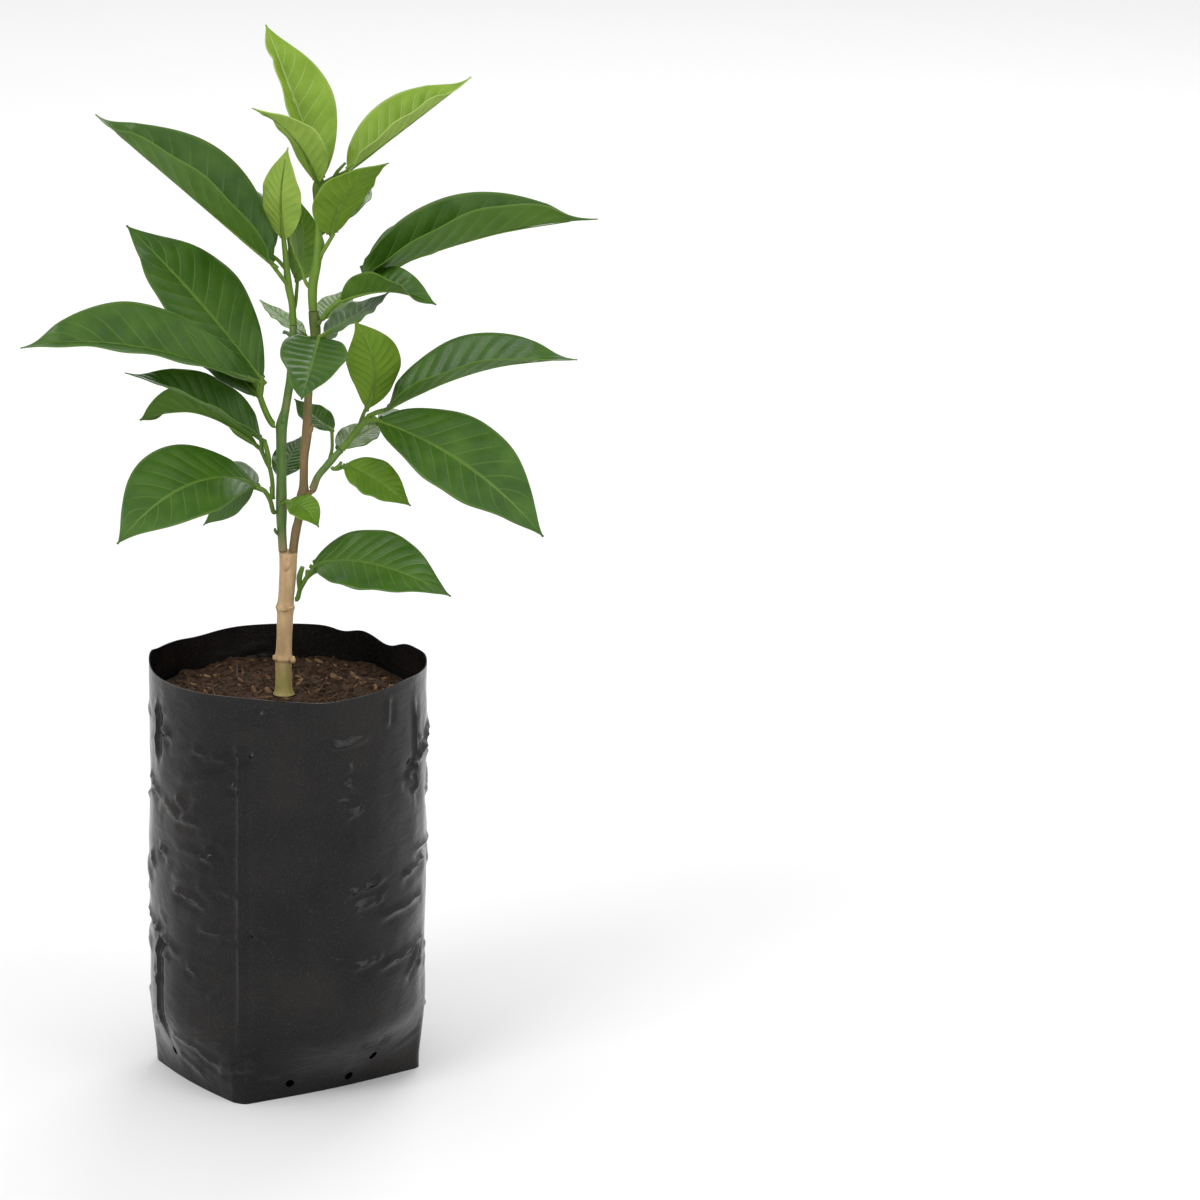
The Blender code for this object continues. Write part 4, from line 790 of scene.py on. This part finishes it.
# grow bag: glossy film on a rectangular foot, creased and dented; lengths in mm, angles in degrees
bag = {
    "radius": 64.3, "height": 195.3, "film": 0.4, "inset": 0.2, "sides": 300, "levels": 118,
    "footLength": 100.0, "footWidth": 79.0, "footCorner": 5.0, "footBulge": 3.0, "footTurn": 31.5,
    "footHeight": 38.0, "footRings": (0.8, 0.55, 0.3), "sharpFrom": 50,
    # the free rim: angle, lift, spread
    "rimWaves": ((175, 3.5, 12), (131, -1.5, 12), (43, -4.5, 9), (66, -2.0, 6), (-75, -1.0, 10),
                 (-33, 2.0, 18), (-108, 1.2, 20), (8, 1.5, 10)),
    # angle, height
    "drainHoles": ((-159, 13), (-89, 7), (-38, 14), (-50, 5), (21, 12), (68, 7), (118, 13), (150, 6)),
    "drainRadius": 2.0, "punchSides": 18, "punchLength": 20.0,
    # creases: from angle, height to angle, height
    "creases": ((-123, 166, -115, 167), (-132, 168, -126, 168), (-109, 171, -102, 169),
                (-115, 155, -110, 154), (-128, 118, -122, 117), (-122, 103, -111, 102),
                (-107, 188, -95, 191), (-143, 143, -137, 137), (-143, 133, -129, 133),
                (-156, 172, -147, 170), (-172, 146, -156, 139), (-166, 110, -163, 102),
                (-157, 115, -150, 113), (-145, 98, -128, 97), (-74, 173, -55, 175), (-66, 162, -62, 162),
                (-68, 154, -62, 151), (-66, 139, -58, 142), (0, 165, -33, 151), (-33, 151, -21, 141),
                (-24, 113, 0, 112), (-35, 103, -12, 107), (-66, 102, -46, 106), (180, 80, 217, 67),
                (-143, 98, -125, 94), (-130, 83, -114, 84), (-121, 78, -106, 86), (-106, 86, -96, 79),
                (-99, 72, -89, 76), (-134, 20, -121, 17), (-121, 17, -112, 21), (-122, 14, -102, 20),
                (-62, 94, -47, 97), (-75, 73, -63, 65), (-63, 65, -47, 69), (-50, 87, -11, 91),
                (-51, 63, -11, 69), (-32, 54, -15, 66), (-54, 23, -42, 23), (-110, 20, -110, 190),
                (-160, 19, -160, 77), (-160, 155, -160, 184), (-25, 137, -25, 185), (-45, 179, -45, 191),
                (70, 15, 70, 185), (18, 20, 18, 180), (156, 25, 156, 180)),
    "creaseLift": 1.5, "creaseWidth": 1.5,
    # loose folds round the sides and the back
    "looseFolds": 130, "seed": 7, "looseAngles": (-20, 250), "looseHeights": (14, 182),
    "looseTurns": (4, 22), "looseRise": 9, "looseLifts": (0.4, 1.3), "looseWidths": (1.1, 2.4),
    # a fold's section: a crest with a shallow trough beside it, in crest widths, tapered at both ends
    "troughDepth": 0.55, "troughAside": 2.1, "troughWidth": 1.6, "taperFrom": 0.32, "taperLength": 0.02,
    # soft dents, coarse and fine, and the most that the film goes in and out
    "dents": (0.9, 0.35), "dentsAround": 1.9, "dentHeight": 42, "fineDents": 3.1, "most": (-2.6, 2.2),
    "calmBand": 12.0, "rimCalm": 0.25,
}


def footRadius(angle, shape):
    turned = angle - math.radians(shape["footTurn"])
    x, y = abs(math.cos(turned)), abs(math.sin(turned))
    halfX, halfY = shape["footLength"] / 2, shape["footWidth"] / 2
    square = min(halfX / max(x, tiny), halfY / max(y, tiny))
    cornerX, cornerY = halfX - shape["footCorner"], halfY - shape["footCorner"]
    if square * x > cornerX and square * y > cornerY:
        along = x * cornerX + y * cornerY
        beyond = cornerX ** 2 + cornerY ** 2 - shape["footCorner"] ** 2
        square = along + math.sqrt(max(along ** 2 - beyond, 0.0))
    onLong = square * y > cornerY
    middle = 1.0 - (square * x / halfX) ** 2 if onLong else 1.0 - (square * y / halfY) ** 2
    return square + shape["footBulge"] * max(middle, 0.0)


def rimHeight(angle, shape):
    height = shape["height"]
    for centre, rise, spread in shape["rimWaves"]:
        away = (math.degrees(angle) - centre + 180.0) % 360.0 - 180.0
        height += rise * math.exp(-(away / spread) ** 2)
    return height


def bagFolds(shape):  # the listed creases, then the loose folds
    draw = random.Random(shape["seed"])
    folds = [(*crease, shape["creaseLift"], shape["creaseWidth"]) for crease in shape["creases"]]
    for _ in range(shape["looseFolds"]):
        angle, height = draw.uniform(*shape["looseAngles"]), draw.uniform(*shape["looseHeights"])
        turn = draw.choice((-1, 1)) * draw.uniform(*shape["looseTurns"])
        rise = draw.uniform(-shape["looseRise"], shape["looseRise"])
        lift, width = draw.uniform(*shape["looseLifts"]), draw.uniform(*shape["looseWidths"])
        folds.append((angle, height, angle + turn, height + rise, lift, width))
    return folds


def foldRelief(angles, height, shape):  # how far the folds and dents push the film out, in mm
    relief = np.zeros_like(height)
    for angle0, height0, angle1, height1, lift, width in bagFolds(shape):
        x = ((angles - math.radians(angle0) + math.pi) % math.tau - math.pi)[None, :] * shape["radius"]
        y = height - height0
        reach = math.radians(angle1 - angle0) * shape["radius"]
        length = math.hypot(reach, height1 - height0)
        runX, runY = reach / length, (height1 - height0) / length
        along = (x * runX + y * runY) / length
        off = y * runX - x * runY
        beyond = np.clip(np.abs(along - 0.5) - shape["taperFrom"], 0, None)
        crest = np.exp(-(off / width) ** 2)
        trough = np.exp(-((off + shape["troughAside"] * width) / (shape["troughWidth"] * width)) ** 2)
        relief += lift * np.exp(-beyond ** 2 / shape["taperLength"]) * (crest - shape["troughDepth"] * trough)
    coarse, fine = shape["dents"]
    around = shape["dentsAround"]
    for (row, side), level in np.ndenumerate(height):
        angle = angles[side]
        spot = Vector((math.cos(angle) * around, math.sin(angle) * around, level / shape["dentHeight"]))
        relief[row, side] += coarse * noise.noise(spot) + fine * noise.noise(spot * shape["fineDents"])
    return relief


def punchHoles(piece, shape):
    cutters = bpy.data.collections.new("drainCutters")
    bpy.context.scene.collection.children.link(cutters)
    for degrees, rise in shape["drainHoles"]:
        angle = math.radians(degrees)
        away = footRadius(angle, shape) * mm
        bpy.ops.mesh.primitive_cylinder_add(
            vertices=shape["punchSides"], radius=shape["drainRadius"] * mm, depth=shape["punchLength"] * mm,
            location=(away * math.cos(angle), away * math.sin(angle), rise * mm),
            rotation=(0, math.pi / 2, angle))
        cutter = bpy.context.object
        bpy.context.scene.collection.objects.unlink(cutter)
        cutters.objects.link(cutter)
    holes = piece.modifiers.new("drainHoles", "BOOLEAN")
    holes.operation = "DIFFERENCE"
    holes.solver = "MANIFOLD"
    holes.operand_type = "COLLECTION"
    holes.collection = cutters
    piece = bakeDown(piece)
    for cutter in list(cutters.objects):
        bpy.data.objects.remove(cutter)
    bpy.data.collections.remove(cutters)
    return piece


def makeBag(name, shape):
    sides, levels = shape["sides"], shape["levels"]
    angles = np.linspace(0, math.tau, sides, endpoint=False)
    foot = np.array([footRadius(angle, shape) for angle in angles])
    rim = np.array([rimHeight(angle, shape) for angle in angles])
    height = rim[None, :] * np.linspace(0, 1, levels + 1)[:, None]
    part = np.clip(height / shape["footHeight"], 0, 1)
    blend = part * part * (3 - 2 * part)
    radius = foot[None, :] * (1 - blend) + shape["radius"] * blend
    band = shape["calmBand"]
    nearRim = np.clip((rim[None, :] - height) / band, 0, 1)
    calm = np.clip(height / band, 0, 1) * (1 - shape["rimCalm"] + shape["rimCalm"] * nearRim)
    radius = radius + np.clip(foldRelief(angles, height, shape) * calm, *shape["most"]) - shape["inset"]
    points = np.stack((radius * np.cos(angles), radius * np.sin(angles), height), axis=2)
    points = points.reshape(-1, 3).tolist()
    faces = []
    for row in range(levels):
        for side in range(sides):
            after = (side + 1) % sides
            corner = row * sides
            faces.append((corner + side, corner + after, corner + sides + after, corner + sides + side))
    last = 0
    for scale in shape["footRings"]:  # the flat underside, ring by ring
        start = len(points)
        points += [(edge * scale * math.cos(angle), edge * scale * math.sin(angle), 0.0)
                   for edge, angle in zip(foot, angles)]
        faces += [(last + side, start + side, start + (side + 1) % sides, last + (side + 1) % sides)
                  for side in range(sides)]
        last = start
    points.append((0.0, 0.0, 0.0))
    faces += [(last + side, len(points) - 1, last + (side + 1) % sides) for side in range(sides)]
    piece = meshFrom(name, [tuple(value * mm for value in point) for point in points], faces)
    wall = piece.modifiers.new("film", "SOLIDIFY")
    wall.thickness = shape["film"] * mm
    wall.offset = -1.0
    piece = punchHoles(piece, shape)
    piece.data.set_sharp_from_angle(angle=math.radians(shape["sharpFrom"]))
    return piece


filmLook = {
    "roughness": (0.13, 0.24), "specular": 0.2, "dark": (0.004, 0.004, 0.0045, 1),
    "light": (0.012, 0.0105, 0.010, 1), "patchScale": 28.0, "grainScale": 2600.0,
    "dust": (0.10, 0.085, 0.07, 1), "dustFrom": 0.86, "dustShare": 0.5,
    "crinkleStretch": (1.0, 1.0, 2.4), "crinkleScale": 95.0,
    "crinkleDetail": 5.0, "crinkleTwist": 0.6, "bumpDepth": 0.0011, "bumpStrength": 0.45,
}


def filmMaterial(name, look):
    made, tree, shader = startMaterial(name, look["roughness"][1], look["specular"])
    place = objectPlace(tree)
    film = useGroup(tree, mottleTree, {"Place": place, "Patch": look["patchScale"],
                                       "Grain": look["grainScale"]})
    base = blendColour(tree, film.outputs["Patches"], look["dark"], look["light"])
    specks = span(tree, film.outputs["Grains"], look["dustFrom"], 1.0)
    dusty = blendColour(tree, calc(tree, "MULTIPLY", specks, look["dustShare"]), base, look["dust"])
    tree.links.new(dusty, shader.inputs["Base Color"])
    dull = span(tree, film.outputs["Patches"], 0.0, 1.0, *look["roughness"])
    tree.links.new(dull, shader.inputs["Roughness"])
    creased = put(tree, "ShaderNodeMapping", {"Vector": place, "Scale": look["crinkleStretch"]}).outputs[0]
    crinkle = put(tree, "ShaderNodeTexNoise", {"Vector": creased, "Scale": look["crinkleScale"],
                                               "Detail": look["crinkleDetail"],
                                               "Distortion": look["crinkleTwist"]})
    addBump(tree, shader, crinkle.outputs["Fac"], look["bumpDepth"], look["bumpStrength"])
    return made


filmBag = makeBag("filmBag", bag)
filmBag.data.materials.clear()  # the punches left an empty slot of their own
filmBag.data.materials.append(filmMaterial("blackFilm", filmLook))
filmBag.data.polygons.foreach_set("material_index", [0] * len(filmBag.data.polygons))
settle(filmBag, "grow_bag")
print("bag blown")

# potting mix: a lumpy bed with crumbs, chips and fibres scattered over it; lengths in mm
mix = {
    "top": 180.0, "sunk": 0.6, "radius": 61.9, "drop": 30.0, "rings": 70, "sides": 160, "hub": 0.02,
    "trunkX": -1.9, "collar": 12.0, "collarFrom": 0.6, "lumpSize": 17, "lumpSlice": 0.4,
    "lumps": ((1, 2.2), (4, 1.1), (11, 0.5)),  # how fine, how high
    "roughness": 0.92, "specular": 0.2, "grainScale": 1500.0, "bumpDepth": 0.0005,
    "bedScale": 240.0, "bitScale": 330.0,
    "bedColours": ((0.020, 0.011, 0.006, 1), (0.085, 0.045, 0.024, 1)),
}


def mixLevel(x, y, shape):  # level round the foot of the trunk
    away = math.hypot(x - shape["trunkX"], y)
    calm = min(max(away / shape["collar"] - shape["collarFrom"], 0.0), 1.0)
    spot = Vector((x / shape["lumpSize"], y / shape["lumpSize"], shape["lumpSlice"]))
    lumps = sum(lift * noise.noise(spot * fine) for fine, lift in shape["lumps"])
    return shape["top"] - shape["sunk"] + calm * lumps


def makeBed(name, shape):
    points, faces = [], []
    sides, rings = shape["sides"], shape["rings"]
    for ring in range(rings + 1):
        reach = shape["radius"] * max(ring, shape["hub"]) / rings
        for side in range(sides):
            angle = math.tau * side / sides
            x, y = reach * math.cos(angle), reach * math.sin(angle)
            points.append((x * mm, y * mm, mixLevel(x, y, shape) * mm))
    points += [(x, y, (shape["top"] - shape["drop"]) * mm) for x, y, _ in points[-sides:]]
    for ring in range(rings + 1):
        for side in range(sides):
            after = (side + 1) % sides
            near, far = ring * sides, (ring + 1) * sides
            faces.append((near + side, far + side, far + after, near + after))
    faces.append(tuple(range(sides)))
    faces.append(tuple(reversed(range((rings + 1) * sides, (rings + 2) * sides))))
    return meshFrom(name, points, faces)


def mixMaterial(name, dark, light, scale, shape):
    made, tree, shader = startMaterial(name, shape["roughness"], shape["specular"])
    crumb = useGroup(tree, mottleTree, {"Place": objectPlace(tree), "Patch": scale,
                                        "Grain": shape["grainScale"]})
    tree.links.new(blendColour(tree, crumb.outputs["Patches"], dark, light), shader.inputs["Base Color"])
    addBump(tree, shader, crumb.outputs["Grains"], shape["bumpDepth"])
    return made


bitLook = {
    "upward": 0.3, "turns": (0.9, 0.9, 6.28), "roundness": 2, "roughScale": 900.0, "roughDepth": 0.0011,
}


def makeScatterTree(name, look):  # small uneven bits on the upward faces, up to a reach from the axis
    ins = (("Geometry", "NodeSocketGeometry", None), ("Density", "NodeSocketFloat", 1.0),
           ("Seed", "NodeSocketInt", 0), ("Reach", "NodeSocketFloat", 0.057),
           ("Smallest", "NodeSocketFloat", 0.5), ("Largest", "NodeSocketFloat", 1.0),
           ("Shape", "NodeSocketVector", None), ("Bit", "NodeSocketMaterial", None))
    tree, start, end = groupWith(name, ins, (("Geometry", "NodeSocketGeometry"),), "GeometryNodeTree")
    seed = start.outputs["Seed"]
    up = put(tree, "ShaderNodeSeparateXYZ", {0: put(tree, "GeometryNodeInputNormal").outputs[0]}).outputs[2]
    where = put(tree, "GeometryNodeInputPosition").outputs[0]
    flat = vectorCalc(tree, "MULTIPLY", {0: where, 1: (1.0, 1.0, 0.0)}).outputs[0]
    away = vectorCalc(tree, "LENGTH", {0: flat}).outputs["Value"]
    facing = calc(tree, "MULTIPLY", calc(tree, "GREATER_THAN", up, look["upward"]),
                  calc(tree, "LESS_THAN", away, start.outputs["Reach"]))
    dots = put(tree, "GeometryNodeDistributePointsOnFaces",
               {"Mesh": start.outputs["Geometry"], "Selection": facing, "Density": start.outputs["Density"],
                "Seed": seed})
    ball = put(tree, "GeometryNodeMeshIcoSphere", {"Radius": mm, "Subdivisions": look["roundness"]})
    shaped = put(tree, "GeometryNodeTransform", {"Geometry": ball.outputs[0],
                                                 "Scale": start.outputs["Shape"]})
    spin = put(tree, "FunctionNodeRandomValue", {"Max": look["turns"], "Seed": seed},
               data_type="FLOAT_VECTOR")
    size = put(tree, "FunctionNodeRandomValue", {2: start.outputs["Smallest"], 3: start.outputs["Largest"],
                                                 "Seed": seed}, data_type="FLOAT")
    bits = put(tree, "GeometryNodeInstanceOnPoints",
               {"Points": dots.outputs["Points"], "Instance": shaped.outputs[0], "Rotation": spin.outputs[0],
                "Scale": size.outputs[1]})
    real = put(tree, "GeometryNodeRealizeInstances", {"Geometry": bits.outputs[0]})
    rough = put(tree, "ShaderNodeTexNoise", {"Vector": where, "Scale": look["roughScale"]})
    jolt = vectorCalc(tree, "SUBTRACT", {0: rough.outputs["Color"], 1: (0.5, 0.5, 0.5)}).outputs[0]
    push = vectorCalc(tree, "SCALE", {0: jolt, "Scale": look["roughDepth"]}).outputs[0]
    nudged = put(tree, "GeometryNodeSetPosition", {"Geometry": real.outputs[0], "Offset": push})
    coated = put(tree, "GeometryNodeSetMaterial", {"Geometry": nudged.outputs[0],
                                                   "Material": start.outputs["Bit"]})
    tree.links.new(coated.outputs[0], end.inputs["Geometry"])
    return tree


scatterTree = makeScatterTree("scatterBits", bitLook)
scatters = {  # density, seed, reach from the axis, smallest, largest, shape, dark, light
    "mixCrumbs": (115000.0, 3, 0.0600, 0.5, 1.7, (1.0, 0.8, 0.7), (0.022, 0.012, 0.007, 1),
                  (0.10, 0.052, 0.028, 1)),
    "mixChips": (12000.0, 8, 0.0580, 0.6, 1.5, (2.2, 1.0, 0.4), (0.16, 0.085, 0.040, 1),
                 (0.32, 0.19, 0.10, 1)),
    "mixFibres": (14000.0, 12, 0.0550, 0.5, 1.3, (5.2, 0.22, 0.22), (0.10, 0.055, 0.030, 1),
                  (0.24, 0.15, 0.09, 1)),
}
mixBed = makeBed("mixBed", mix)
mixBed.data.materials.append(mixMaterial("mixBed", *mix["bedColours"], mix["bedScale"], mix))
mixBed.data.shade_smooth()
for name, (density, seed, reach, smallest, largest, shape, dark, light) in scatters.items():
    piece = addObject(name, mixBed.data.copy())
    finish = mixMaterial(name, dark, light, mix["bitScale"], mix)
    useTree(piece, scatterTree, {"Density": density, "Seed": seed, "Reach": reach, "Smallest": smallest,
                                 "Largest": largest, "Shape": shape, "Bit": finish})
    piece = bakeDown(piece)
    settle(piece, "potting_mix")
    print(piece.name, len(piece.data.polygons), "faces")
settle(mixBed, "potting_mix")
print("mix filled")
